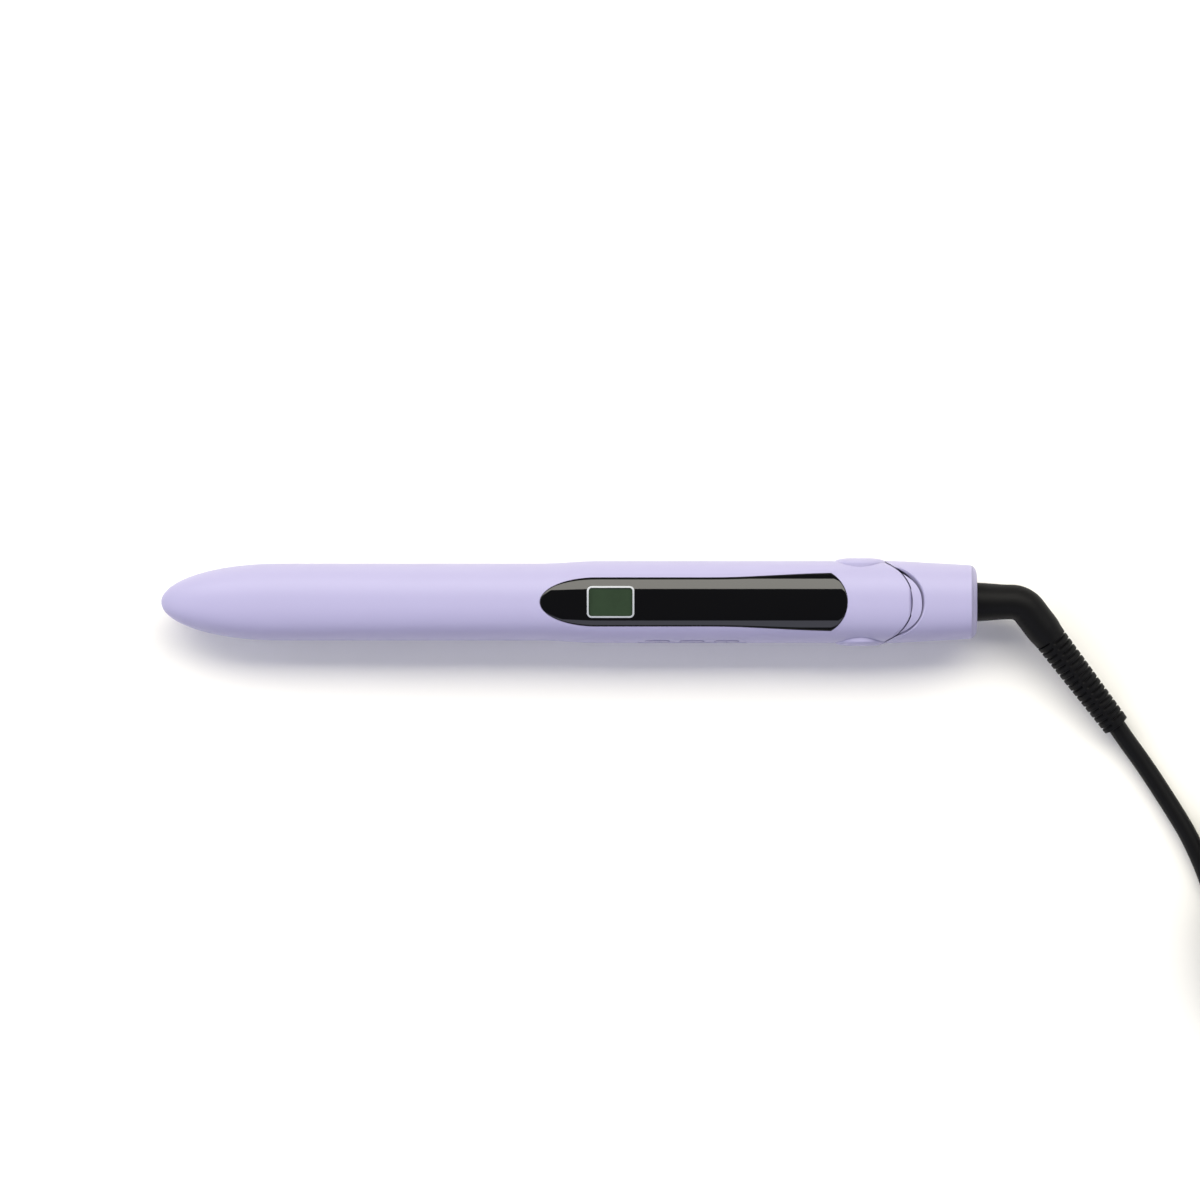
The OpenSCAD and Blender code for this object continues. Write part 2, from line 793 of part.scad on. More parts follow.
module plug_pins() {
    color(steel) for (s = [-1, 1])
        translate(plug_pos + [s * plug_pin_pitch / 2, plug_relief_l + plug_l, 0])
            rotate([-90, 0, 0]) {
                cylinder(r = 2, h = plug_pin_l - 1);
                translate([0, 0, plug_pin_l - 1]) cylinder(r1 = 2, r2 = 1.4, h = 1);
            }
}

lower_casing();
lower_inner_cover();
lower_plate_carrier();
lower_plate_springs();
lower_cover_screws();
lower_heater_leads();
rear_collar();
collar_end_ring();
hinge_pin();
hinge_cap_left();
hinge_cap_right();
hinge_spring();
swivel_retainer();
contact_leaves();
upper_casing();
display_window();
lcd_frame();
lcd_panel();
lcd_holder();
control_board();
board_screws();
board_switches();
button_bezel();
upper_inner_cover();
upper_plate_carrier();
upper_plate_springs();
upper_cover_screws();
upper_heater_leads();
upper_plate();
upper_heating_element();
upper_heater_clamp();
upper_sensor();
lower_plate();
lower_heating_element();
lower_heater_clamp();
lower_sensor();
power_button();
temp_up_button();
temp_down_button();
cord_elbow();
swivel_core();
slip_rings();
cord();
cord_coil();
coil_tie();
plug_body();
plug_pins();
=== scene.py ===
"""Looks of the hinged straightening iron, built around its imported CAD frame."""
import json
import math

import bmesh
import bpy
from mathutils import Matrix, Vector


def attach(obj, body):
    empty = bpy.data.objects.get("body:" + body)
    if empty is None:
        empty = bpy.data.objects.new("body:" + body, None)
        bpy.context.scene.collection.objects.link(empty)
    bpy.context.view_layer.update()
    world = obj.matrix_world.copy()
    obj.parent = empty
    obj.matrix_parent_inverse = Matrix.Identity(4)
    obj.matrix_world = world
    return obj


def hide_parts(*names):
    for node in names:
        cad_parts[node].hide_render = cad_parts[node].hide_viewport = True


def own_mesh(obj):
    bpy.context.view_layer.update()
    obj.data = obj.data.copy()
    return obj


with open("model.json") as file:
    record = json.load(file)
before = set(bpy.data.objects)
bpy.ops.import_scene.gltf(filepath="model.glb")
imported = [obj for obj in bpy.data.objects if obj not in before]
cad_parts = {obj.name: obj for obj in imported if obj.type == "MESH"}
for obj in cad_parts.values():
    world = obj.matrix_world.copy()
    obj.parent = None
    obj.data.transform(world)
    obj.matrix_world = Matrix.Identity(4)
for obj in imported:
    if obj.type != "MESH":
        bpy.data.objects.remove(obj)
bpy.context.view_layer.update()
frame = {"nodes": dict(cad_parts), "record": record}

MM = 0.001
scene = bpy.context.scene
nodes = frame["nodes"]

# Driving dimensions, in millimetres, as in the CAD part
MID_Z = 15.0
TIP_X1, TIP_LEN = -103.0, 42.0         # rear end and length of the rounded tip
TIP_HALF_H = 13.2
FRONT_HALF_W, REAR_HALF_W = 13.7, 14.6
FULL_H_X = -40.0                       # full height from here back
WIDEN_X, WIDEN_LEN = -10.0, 21.0       # the width steps up over this stretch
TAPER_X, COLLAR_X, END_RING_X, REAR_X = 116.0, 112.8, 143.3, 145.0
END_HALF_W, END_HALF_H = 13.0, 13.5    # at the rear end, before its bevel
WALL = 1.8
RIM_GAP = 0.8
HINGE_X = 103.5
TAIL_R = 22.8
TAIL_LIP_X, TAIL_LIP_SLOPE = 112.5, 1.1   # the end's lower edge rises from here
TAIL_PLAN_X, TAIL_PLAN_R = 106.6, 15.2
SECTION_POWER = 2.5
CORD_D = 6.5


# ---------------------------------------------------------------- camera, floor and light

VIEW_WIDTH = 426.7       # seen across the frame at the height where the arms meet
CAMERA_DISTANCE = 4000.0
CAMERA_XY = (11.1, 0.7)


def add_camera():
    data = bpy.data.cameras.new("camera")
    data.sensor_width = 36.0
    data.lens = data.sensor_width * CAMERA_DISTANCE / VIEW_WIDTH
    data.clip_start = 0.01
    camera = bpy.data.objects.new("camera", data)
    camera.location = Vector((*CAMERA_XY, MID_Z + CAMERA_DISTANCE)) * MM
    scene.collection.objects.link(camera)
    scene.camera = camera


def add_panel(name, direction, distance, size, radiance, color):
    """A soft panel light that faces the object."""
    data = bpy.data.lights.new(name, "AREA")
    data.shape = "RECTANGLE"
    data.size, data.size_y = size
    data.energy = radiance * math.pi * size[0] * size[1]
    data.color = color
    light = bpy.data.objects.new(name, data)
    light.location = Vector(direction).normalized() * distance
    light.rotation_euler = (-light.location).to_track_quat("-Z", "Y").to_euler()
    scene.collection.objects.link(light)


def add_stage():
    mesh = bpy.data.meshes.new("floor")
    half = 2.5
    mesh.from_pydata([(-half, -half, 0), (half, -half, 0), (half, half, 0), (-half, half, 0)], [],
                     [(0, 1, 2, 3)])
    floor = bpy.data.objects.new("floor", mesh)
    scene.collection.objects.link(floor)
    floor.data.materials.append(simple_material("floor_white", (0.96, 0.955, 0.90), 0.8))
    world = bpy.data.worlds.new("studio")
    world.use_nodes = True
    world.node_tree.nodes["Background"].inputs["Color"].default_value = (*COOL, 1)
    world.node_tree.nodes["Background"].inputs["Strength"].default_value = WORLD_STRENGTH
    scene.world = world
    for panel in PANELS:
        add_panel(*panel)
    scene.view_settings.view_transform = "Standard"


def tilt(degrees_from_up, azimuth):
    """Direction at an angle from straight up; azimuth 90 is +Y."""
    t, a = math.radians(degrees_from_up), math.radians(azimuth)
    return (math.sin(t) * math.cos(a), math.sin(t) * math.sin(a), math.cos(t))


WORLD_STRENGTH = 0.12
WARM = (1.0, 0.97, 0.89)
COOL = (0.94, 0.945, 1.08)
BLUE = (0.93, 0.935, 1.14)
PANELS = [
    ("key_panel", tilt(37.5, 90), 1.15, (2.4, 0.66), 5.35, WARM),
    ("fill_panel", tilt(50, -90), 1.15, (2.4, 0.52), 1.28, BLUE),
    ("end_panel_a", tilt(62, 180), 1.6, (1.2, 1.0), 2.2, COOL),
    ("end_panel_b", tilt(62, 0), 1.6, (1.2, 1.0), 0.9, COOL),
]


# ---------------------------------------------------------------- materials

def linear(rgb):
    """sRGB values from 0 to 255 as linear light."""
    return tuple((c / 255 / 12.92) if c / 255 <= 0.04045 else ((c / 255 + 0.055) / 1.055) ** 2.4
                 for c in rgb)


def principled(name):
    material = bpy.data.materials.new(name)
    material.use_nodes = True
    return material, material.node_tree, material.node_tree.nodes["Principled BSDF"]


def simple_material(name, color, roughness):
    """Floor finish: one tone with a faint variation in its roughness."""
    material, tree, shader = principled(name)
    shader.inputs["Base Color"].default_value = (*color, 1)
    coords = tree.nodes.new("ShaderNodeTexCoord")
    noise = tree.nodes.new("ShaderNodeTexNoise")
    noise.inputs["Scale"].default_value = 30
    spread = tree.nodes.new("ShaderNodeMapRange")
    spread.inputs["To Min"].default_value = roughness - 0.05
    spread.inputs["To Max"].default_value = roughness + 0.05
    tree.links.new(coords.outputs["Object"], noise.inputs["Vector"])
    tree.links.new(noise.outputs["Fac"], spread.inputs["Value"])
    tree.links.new(spread.outputs["Result"], shader.inputs["Roughness"])
    return material


def surface_material(name, color, roughness, grain=0.0, grain_mm=0.4, shade=0.04, metallic=0.0,
                     rough_spread=0.05, coat=0.0, specular=0.5, sheen=0.0, stretch=(1, 1, 1),
                     blotch_mm=14.0):
    """A moulded, rubber or metal finish: broad colour variation, uneven gloss and a fine grain."""
    material, tree, shader = principled(name)
    link = tree.links.new
    coords = tree.nodes.new("ShaderNodeTexCoord")
    mapping = tree.nodes.new("ShaderNodeMapping")
    mapping.inputs["Scale"].default_value = stretch
    link(coords.outputs["Object"], mapping.inputs["Vector"])
    broad = tree.nodes.new("ShaderNodeTexNoise")
    broad.inputs["Scale"].default_value = 1000.0 / blotch_mm
    broad.inputs["Detail"].default_value = 4
    link(mapping.outputs["Vector"], broad.inputs["Vector"])
    ramp = tree.nodes.new("ShaderNodeMixRGB")
    ramp.inputs["Color1"].default_value = (*[c * (1 - shade) for c in color], 1)
    ramp.inputs["Color2"].default_value = (*[min(1, c * (1 + shade)) for c in color], 1)
    link(broad.outputs["Fac"], ramp.inputs["Fac"])
    link(ramp.outputs["Color"], shader.inputs["Base Color"])
    fine = tree.nodes.new("ShaderNodeTexNoise")
    fine.inputs["Scale"].default_value = 1000.0 / grain_mm
    fine.inputs["Detail"].default_value = 3
    link(mapping.outputs["Vector"], fine.inputs["Vector"])
    gloss = tree.nodes.new("ShaderNodeMapRange")
    gloss.inputs["To Min"].default_value = max(0.0, roughness - rough_spread)
    gloss.inputs["To Max"].default_value = min(1.0, roughness + rough_spread)
    link(fine.outputs["Fac"], gloss.inputs["Value"])
    link(gloss.outputs["Result"], shader.inputs["Roughness"])
    if grain:
        bump = tree.nodes.new("ShaderNodeBump")
        bump.inputs["Strength"].default_value = 1.0
        bump.inputs["Distance"].default_value = grain * MM
        link(fine.outputs["Fac"], bump.inputs["Height"])
        link(bump.outputs["Normal"], shader.inputs["Normal"])
    shader.inputs["Metallic"].default_value = metallic
    shader.inputs["Specular IOR Level"].default_value = specular
    shader.inputs["Coat Weight"].default_value = coat
    shader.inputs["Coat Roughness"].default_value = 0.03
    shader.inputs["Sheen Weight"].default_value = sheen
    return material


def woven_material(name, color):
    """Woven strap: two crossed wave patterns."""
    material, tree, shader = principled(name)
    link = tree.links.new
    coords = tree.nodes.new("ShaderNodeTexCoord")
    waves = []
    for axis in ("X", "Z"):
        wave = tree.nodes.new("ShaderNodeTexWave")
        wave.bands_direction = axis
        wave.inputs["Scale"].default_value = 260
        wave.inputs["Distortion"].default_value = 0.4
        link(coords.outputs["Object"], wave.inputs["Vector"])
        waves.append(wave)
    both = tree.nodes.new("ShaderNodeMath")
    both.operation = "MULTIPLY"
    link(waves[0].outputs["Fac"], both.inputs[0])
    link(waves[1].outputs["Fac"], both.inputs[1])
    mix = tree.nodes.new("ShaderNodeMixRGB")
    mix.inputs["Color1"].default_value = (*[c * 0.5 for c in color], 1)
    mix.inputs["Color2"].default_value = (*color, 1)
    link(both.outputs["Value"], mix.inputs["Fac"])
    link(mix.outputs["Color"], shader.inputs["Base Color"])
    bump = tree.nodes.new("ShaderNodeBump")
    bump.inputs["Distance"].default_value = 0.25 * MM
    link(both.outputs["Value"], bump.inputs["Height"])
    link(bump.outputs["Normal"], shader.inputs["Normal"])
    shader.inputs["Roughness"].default_value = 0.85
    shader.inputs["Sheen Weight"].default_value = 0.3
    return material


MATERIALS = {
    "soft_lilac": surface_material("soft_lilac", (0.392, 0.372, 0.56), 0.5, grain=0.012,
                                   grain_mm=0.22, shade=0.012, specular=0.42, sheen=0.08),
    "window_black": surface_material("window_black", (0.0012, 0.0012, 0.0013), 0.045, shade=0.2,
                                     rough_spread=0.012, grain_mm=6),
    "display_frame": surface_material("display_frame", linear((176, 180, 184)), 0.35, grain=0.004),
    "display_glass": surface_material("display_glass", linear((44, 60, 42)), 0.12, shade=0.25,
                                      rough_spread=0.02, coat=0.3, blotch_mm=9),
    "inner_black": surface_material("inner_black", (0.022, 0.022, 0.024), 0.45, grain=0.03,
                                    grain_mm=0.5),
    "holder_white": surface_material("holder_white", (0.75, 0.75, 0.72), 0.5, grain=0.01),
    "board_green": surface_material("board_green", (0.01, 0.12, 0.05), 0.3, shade=0.3,
                                    blotch_mm=3, coat=0.4),
    "switch_grey": surface_material("switch_grey", (0.05, 0.05, 0.056), 0.45, grain=0.02),
    "button_grey": surface_material("button_grey", (0.33, 0.31, 0.47), 0.4, grain=0.015),
    "plate_coating": surface_material("plate_coating", (0.13, 0.125, 0.14), 0.24, metallic=0.85,
                                      grain=0.006, grain_mm=0.3, stretch=(0.05, 1, 1)),
    "steel": surface_material("steel", (0.58, 0.58, 0.6), 0.28, metallic=1.0, grain=0.01,
                              stretch=(0.2, 1, 1)),
    "brass": surface_material("brass", (0.72, 0.5, 0.2), 0.25, metallic=1.0, grain=0.008),
    "ceramic": surface_material("ceramic", (0.72, 0.69, 0.6), 0.6, grain=0.02),
    "lead_red": surface_material("lead_red", (0.3, 0.02, 0.015), 0.4, grain=0.01),
    "sensor_resin": surface_material("sensor_resin", (0.5, 0.16, 0.02), 0.25, coat=0.3),
    "carrier_grey": surface_material("carrier_grey", (0.04, 0.04, 0.043), 0.5, grain=0.03),
    "rubber_black": surface_material("rubber_black", (0.003, 0.003, 0.0032), 0.52, grain=0.03,
                                     grain_mm=0.35, shade=0.25, specular=0.13),
    "cord_black": surface_material("cord_black", (0.003, 0.003, 0.0032), 0.5, grain=0.02,
                                   grain_mm=0.5, shade=0.2, specular=0.13),
    "tie_fabric": woven_material("tie_fabric", (0.05, 0.05, 0.055)),
    "plug_black": surface_material("plug_black", (0.012, 0.012, 0.013), 0.42, grain=0.03,
                                   grain_mm=0.4, shade=0.15),
}


# ---------------------------------------------------------------- mesh helpers

def new_object(name, verts, faces):
    """A mesh object from points in millimetres."""
    mesh = bpy.data.meshes.new(name)
    mesh.from_pydata([Vector(v) * MM for v in verts], [], faces)
    work = bmesh.new()
    work.from_mesh(mesh)
    bmesh.ops.remove_doubles(work, verts=work.verts, dist=1e-6)
    bmesh.ops.recalc_face_normals(work, faces=work.faces)
    work.to_mesh(mesh)
    work.free()
    obj = bpy.data.objects.new(name, mesh)
    scene.collection.objects.link(obj)
    return obj


def loft(name, rings, close_ends=True):
    """Closed rings of equally many points, joined in order."""
    count = len(rings[0])
    verts = [p for ring in rings for p in ring]
    faces = []
    for i in range(len(rings) - 1):
        for k in range(count):
            n = (k + 1) % count
            faces.append((i * count + k, i * count + n, (i + 1) * count + n, (i + 1) * count + k))
    if close_ends:
        faces.append(tuple(range(count)))
        faces.append(tuple((len(rings) - 1) * count + k for k in reversed(range(count))))
    return new_object(name, verts, faces)


def boolean(obj, tool, operation):
    modifier = obj.modifiers.new("cut", "BOOLEAN")
    modifier.object = tool
    modifier.operation = operation
    modifier.solver = "EXACT"
    apply_modifiers(obj)
    bpy.data.objects.remove(tool)


def apply_modifiers(obj):
    shape = obj.evaluated_get(bpy.context.evaluated_depsgraph_get())
    mesh = bpy.data.meshes.new_from_object(shape)
    obj.modifiers.clear()
    old = obj.data
    obj.data = mesh
    bpy.data.meshes.remove(old)


def smooth_shade(obj, sharp_degrees=34, weighted=True):
    """Smooth shading with the edges above an angle kept sharp."""
    work = bmesh.new()
    work.from_mesh(obj.data)
    bmesh.ops.remove_doubles(work, verts=work.verts, dist=2e-6)
    bmesh.ops.dissolve_degenerate(work, dist=1e-6, edges=work.edges)
    for face in work.faces:
        face.smooth = True
    limit = math.radians(sharp_degrees)
    for edge in work.edges:
        edge.smooth = not (len(edge.link_faces) == 2 and edge.calc_face_angle(0) > limit)
    work.to_mesh(obj.data)
    work.free()
    if weighted:
        modifier = obj.modifiers.new("weighted_normals", "WEIGHTED_NORMAL")
        modifier.keep_sharp = True
        modifier.weight = 60


def dress(obj, slot, body, *replaced):
    """Finish of a new piece: material, record slot, body and the CAD nodes it stands for."""
    obj.data.materials.clear()
    obj.data.materials.append(MATERIALS[slot])
    if obj.type == "MESH":
        obj.data.polygons.foreach_set("material_index", [0] * len(obj.data.polygons))
    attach(obj, body)
    if replaced:
        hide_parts(*replaced)
    return obj


def cylinder(name, radius, start, end, sides=128):
    """Round tool or piece between two points."""
    start, end = Vector(start), Vector(end)
    turn = (end - start).to_track_quat("Z", "Y").to_matrix()
    rings = []
    for centre in (start, end):
        rings.append([centre + turn @ Vector((radius * math.cos(a), radius * math.sin(a), 0))
                      for a in (2 * math.pi * k / sides for k in range(sides))])
    return loft(name, rings)


def box_tool(name, low, high):
    corners = [(x, y, z) for x in (low[0], high[0]) for y in (low[1], high[1])
               for z in (low[2], high[2])]
    return new_object(name, corners, [(0, 1, 3, 2), (4, 6, 7, 5), (0, 4, 5, 1), (2, 3, 7, 6),
                                      (0, 2, 6, 4), (1, 5, 7, 3)])


def lathe(name, profile, origin, axis, sides=96):
    """Turned piece: profile points are (radius, distance along the axis)."""
    origin = Vector(origin)
    turn = Vector(axis).to_track_quat("Z", "Y").to_matrix()
    rings = []
    for radius, height in profile:
        rings.append([origin + turn @ Vector((radius * math.cos(a), radius * math.sin(a), height))
                      for a in (2 * math.pi * k / sides for k in range(sides))])
    return loft(name, rings)


def smooth_step(t):
    t = min(1.0, max(0.0, t))
    return t * t * (3 - 2 * t)


def mix(a, b, t):
    return a + (b - a) * t


# ---------------------------------------------------------------- shape of the body

def tip_factor(x, inset=0.0):
    reach = (TIP_X1 - x) / (TIP_LEN - inset)
    return math.sqrt(max(0.0, 1 - reach * reach)) if x < TIP_X1 else 1.0


def half_width(x, inset=0.0):
    if x < TIP_X1:
        return (FRONT_HALF_W - inset) * tip_factor(x, inset)
    if x < TAPER_X:
        return mix(FRONT_HALF_W, REAR_HALF_W, smooth_step((x - WIDEN_X) / WIDEN_LEN)) - inset
    return mix(REAR_HALF_W, END_HALF_W, (x - TAPER_X) / (REAR_X - TAPER_X)) - inset


def half_height(x, inset=0.0):
    if x < TIP_X1:
        return (TIP_HALF_H - inset) * tip_factor(x, inset)
    if x < TAPER_X:
        return mix(TIP_HALF_H, MID_Z, smooth_step((x - TIP_X1) / (FULL_H_X - TIP_X1))) - inset
    return mix(MID_Z, END_HALF_H, (x - TAPER_X) / (REAR_X - TAPER_X)) - inset


def crown(x, y, inset=0.0):
    """Height of the upper surface above the meeting plane."""
    w, h = half_width(x, inset), half_height(x, inset)
    return h * max(0.0, 1 - (abs(y) / w) ** SECTION_POWER) ** (1 / SECTION_POWER)


def side(x, u, inset=0.0):
    """Half width of the body at height u above the meeting plane."""
    w, h = half_width(x, inset), half_height(x, inset)
    return w * max(0.0, 1 - (abs(u) / h) ** SECTION_POWER) ** (1 / SECTION_POWER)


def tail_size(x, inset=0.0, edge=0.8):
    """Half width, half height and lower edge of the upper arm's end behind the hinge."""
    r = TAIL_PLAN_R - inset
    reach = math.sqrt(max(0.0, r * r - (x - TAIL_PLAN_X) ** 2)) if x > TAIL_PLAN_X else 99.0
    x_body = min(x, COLLAR_X)
    h = half_height(x_body, inset)
    if x > HINGE_X:
        h = min(h, math.sqrt(max(0.0, (TAIL_R - inset) ** 2 - (x - HINGE_X) ** 2)))
    short = edge - (TAIL_PLAN_X + r - x)
    if short > 0:
        h -= edge - math.sqrt(edge * edge - min(short, edge) ** 2)
    return half_width(x_body, inset), h, max(0.02, reach)


def clip_to_reach(y, u, w, h, reach, sharpness=36):
    """Moves a point of a narrowed section out to the body's surface or its upright end."""
    y *= min(1.0, reach / w)
    to_side = abs(y) / reach
    to_crown = ((abs(y) / w) ** SECTION_POWER + (u / h) ** SECTION_POWER) ** (1 / SECTION_POWER)
    scale = (to_side ** sharpness + to_crown ** sharpness) ** (-1 / sharpness)
    return y * scale, u * scale


def arm_section(x, w, h, rim, sign, reach=99.0, points=56, corner=0.45):
    """Half of a superellipse from rim to rim, with rounded rim corners, as one closed ring."""
    corner = max(0.004, min(corner, (h - rim) * 0.45, min(w, reach) * 0.3))
    start = math.asin(min(1.0, ((rim + corner) / h)) ** (SECTION_POWER / 2))
    ring = []
    for k in range(points + 1):
        t = start + (math.pi - 2 * start) * k / points
        c, s = math.cos(t), math.sin(t)
        y, u = math.copysign(abs(c) ** (2 / SECTION_POWER), c) * w, s ** (2 / SECTION_POWER) * h
        ring.append(clip_to_reach(y, u, w, h, reach) if reach < w else (y, u))
    edge_y = ring[0][0]
    left = [(-edge_y + corner - corner * math.cos(a), rim + corner - corner * math.sin(a))
            for a in (math.radians(d) for d in (22, 45, 68, 90))]
    right = [(-y, u) for y, u in reversed(left)]
    return [(x, y, MID_Z + sign * u) for y, u in ring + left + right]


def tip_stations(inset=0.0, steps=26):
    """Stations that crowd together towards the tip."""
    first = 4.5
    return [TIP_X1 - (TIP_LEN - inset) * math.cos(math.radians(mix(first, 90, (k / steps) ** 1.15)))
            for k in range(steps)]


def even_stations(start, end, step):
    count = max(1, round((end - start) / step))
    return [mix(start, end, k / count) for k in range(count + 1)]


def arm_loft(name, end_x, sign, tail, inset=0.0, rim=RIM_GAP, corner=0.45):
    xs = tip_stations(inset) + even_stations(TIP_X1, end_x if not tail else HINGE_X, 3.5)
    if tail:
        length = TAIL_PLAN_R - inset
        xs += even_stations(HINGE_X, TAIL_PLAN_X, 1.0)[1:]
        xs += [TAIL_PLAN_X + length * math.sin(math.radians(a)) for a in range(3, 91, 3)]
    rings = []
    for x in xs:
        if tail:
            w, h, reach = tail_size(x, inset)
            edge = rim + max(0.0, x - TAIL_LIP_X) * TAIL_LIP_SLOPE * (inset == 0)
        else:
            w, h, reach, edge = half_width(x, inset), half_height(x, inset), 99.0, rim
        if h > max(edge, RIM_GAP) + 0.05 and w > 0.1:
            rings.append(arm_section(x, w, h, edge, sign, reach, corner=corner))
    return loft(name, rings)


# ---------------------------------------------------------------- window and display

WINDOW_X0, WINDOW_X1, WINDOW_ARC_X = -10.2, 93.0, 98.8
WINDOW_FRONT_L = 20.0                     # length of its rounded front
WINDOW_FLARE_X, WINDOW_FLARE_LEN = 50.0, 47.0
WINDOW_HALF_W, WINDOW_REAR_HALF_W = 8.6, 10.2
WINDOW_T = 1.0
WINDOW_SPINE = (3.0, 86.9)
LCD_X, LCD_L, LCD_W = 14.85, 16.9, 11.4
LENS_U0, LENS_U1 = 12.6, 14.0             # its lower and upper face, from the meeting plane
THROUGH_Z = (20, 40)                      # a cut through the upper wall


def flare_step(x):
    return smooth_step((x - WINDOW_FLARE_X) / WINDOW_FLARE_LEN)


def window_outline(gap=0.0):
    """Points around the window, from its front middle over the +Y side."""
    front_x = WINDOW_X0 + WINDOW_FRONT_L
    rise = WINDOW_ARC_X - WINDOW_X1
    rear_r = (WINDOW_REAR_HALF_W ** 2 + rise * rise) / (2 * rise)
    rear_a = math.degrees(math.asin(WINDOW_REAR_HALF_W / rear_r))
    half = []
    for k in range(33):
        a = math.radians(180 - 90 * k / 32)
        half.append((front_x + (WINDOW_FRONT_L + gap) * math.cos(a),
                     (WINDOW_HALF_W + gap) * math.sin(a)))
    for x in even_stations(front_x, WINDOW_X1, 2.0)[1:]:
        flare = (WINDOW_REAR_HALF_W - WINDOW_HALF_W) * flare_step(x) / flare_step(WINDOW_X1)
        half.append((x + gap * (x >= WINDOW_X1), WINDOW_HALF_W + gap + flare))
    for k in range(1, 25):
        a = math.radians(rear_a * (1 - k / 24))
        half.append((WINDOW_ARC_X - rear_r + (rear_r + gap) * math.cos(a),
                     (rear_r + gap) * math.sin(a)))
    return half + [(x, -y) for x, y in reversed(half[1:-1])]


def rounded_outline(cx, cy, length, width, radius, corner_steps=8):
    points = []
    for sx, sy, start in ((1, 1, 0), (-1, 1, 90), (-1, -1, 180), (1, -1, 270)):
        for k in range(corner_steps + 1):
            a = math.radians(start + 90 * k / corner_steps)
            points.append((cx + sx * (length / 2 - radius) + radius * math.cos(a),
                           cy + sy * (width / 2 - radius) + radius * math.sin(a)))
    return points


def refine(outline, step):
    """Adds points along the long edges of a closed outline."""
    points = []
    for i, (x0, y0) in enumerate(outline):
        x1, y1 = outline[(i + 1) % len(outline)]
        count = max(1, math.ceil(math.hypot(x1 - x0, y1 - y0) / step))
        points += [(mix(x0, x1, k / count), mix(y0, y1, k / count)) for k in range(count)]
    return points


def pad(name, outline, spine, place, thickness, edge=0.25, proud=0.0, rings=14):
    """A thin lid over an outline on a curved surface.

    outline points shrink towards the spine, a range of the first coordinate. place(a, b, lift)
    gives the point in space at outline coordinates a, b, lifted off the surface."""
    outline = refine(outline, 1.2)

    def shrunk(p, s):
        target = min(spine[1], max(spine[0], p[0]))
        return mix(target, p[0], s), p[1] * s if abs(p[1]) > 1e-9 else 0.0

    width = max(abs(p[1]) for p in outline)
    scales = [1.0, 1 - 0.35 * edge / width, 1 - edge / width]
    drops = [-edge, -edge * 0.3, 0.0]
    for k in range(1, rings + 1):
        scales.append(mix(scales[2], 0.0, k / rings))
        drops.append(0.0)
    top = [[place(*shrunk(p, s), proud + d) for p in outline] for s, d in zip(scales, drops)]
    bottom = [[place(*shrunk(p, s), -thickness) for p in outline] for s in reversed(scales)]
    return loft(name, list(reversed(top)) + list(reversed(bottom)), close_ends=False)


def on_crown(x, y, lift):
    return (x, y, MID_Z + crown(x, y) + lift)


def prism_tool(name, outline, low, high):
    return loft(name, [[(x, y, low) for x, y in outline], [(x, y, high) for x, y in outline]])


# ---------------------------------------------------------------- controls on the -Y side

STRIP_X, STRIP_LEN = 43.8, 38.4
STRIP_U0, STRIP_U1 = 2.4, 8.0
BUTTON_U, BUTTON_LEN, BUTTON_H, BUTTON_PITCH = 5.2, 8.6, 3.4, 12.3
MARK_DEPTH, MARK_HALF_L, MARK_HALF_T = 0.18, 1.0, 0.16
RING_R, RING_CORE_R = 0.95, 0.65


def on_side(x, u, lift):
    """Point on the -Y side; the second coordinate counts up from the button row."""
    height = BUTTON_U + u
    return (x, -(side(x, height) + lift), MID_Z + height)


def side_frame_tool(name, outline, depth):
    """Cutter through the side wall with the given outline."""
    inner = [(x, -(REAR_HALF_W + 2), MID_Z + BUTTON_U + u) for x, u in outline]
    outer = [(x, -(REAR_HALF_W - depth), MID_Z + BUTTON_U + u) for x, u in outline]
    return loft(name, [inner, outer])


def strip_outline(gap):
    height = STRIP_U1 - STRIP_U0
    return rounded_outline(STRIP_X, 0, STRIP_LEN + 2 * gap, height + 2 * gap, height / 2 - 0.4)


def button_outline(index, gap):
    return rounded_outline(STRIP_X + index * BUTTON_PITCH, 0, BUTTON_LEN + 2 * gap,
                           BUTTON_H + 2 * gap, BUTTON_H / 2 - 0.1)


def build_controls():
    length = STRIP_LEN / 2 - 2.6
    bezel = pad("control_bezel", strip_outline(-0.06), (STRIP_X - length, STRIP_X + length),
                on_side, 1.1, edge=0.12, proud=-0.12, rings=8)
    for index in (-1, 0, 1):
        boolean(bezel, side_frame_tool("slot", button_outline(index, 0.12), 4.0), "DIFFERENCE")
    smooth_shade(bezel)
    dress(bezel, "soft_lilac", "upper_arm", "button_bezel")
    marks = {-1: "power", 0: "minus", 1: "plus"}
    bodies = {-1: ("power_key", "power_button"), 0: ("temp_down_key", "temp_down_button"),
              1: ("temp_up_key", "temp_up_button")}
    for index, (body, node) in bodies.items():
        x = STRIP_X + index * BUTTON_PITCH
        reach = BUTTON_LEN / 2 - 1.6
        key = pad(node + "_cap", button_outline(index, 0), (x - reach, x + reach), on_side, 2.0,
                  edge=0.22, proud=0.1, rings=6)
        for tool in mark_tools(marks[index], x):
            boolean(key, tool, "DIFFERENCE")
        smooth_shade(key)
        dress(key, "button_grey", body, node)


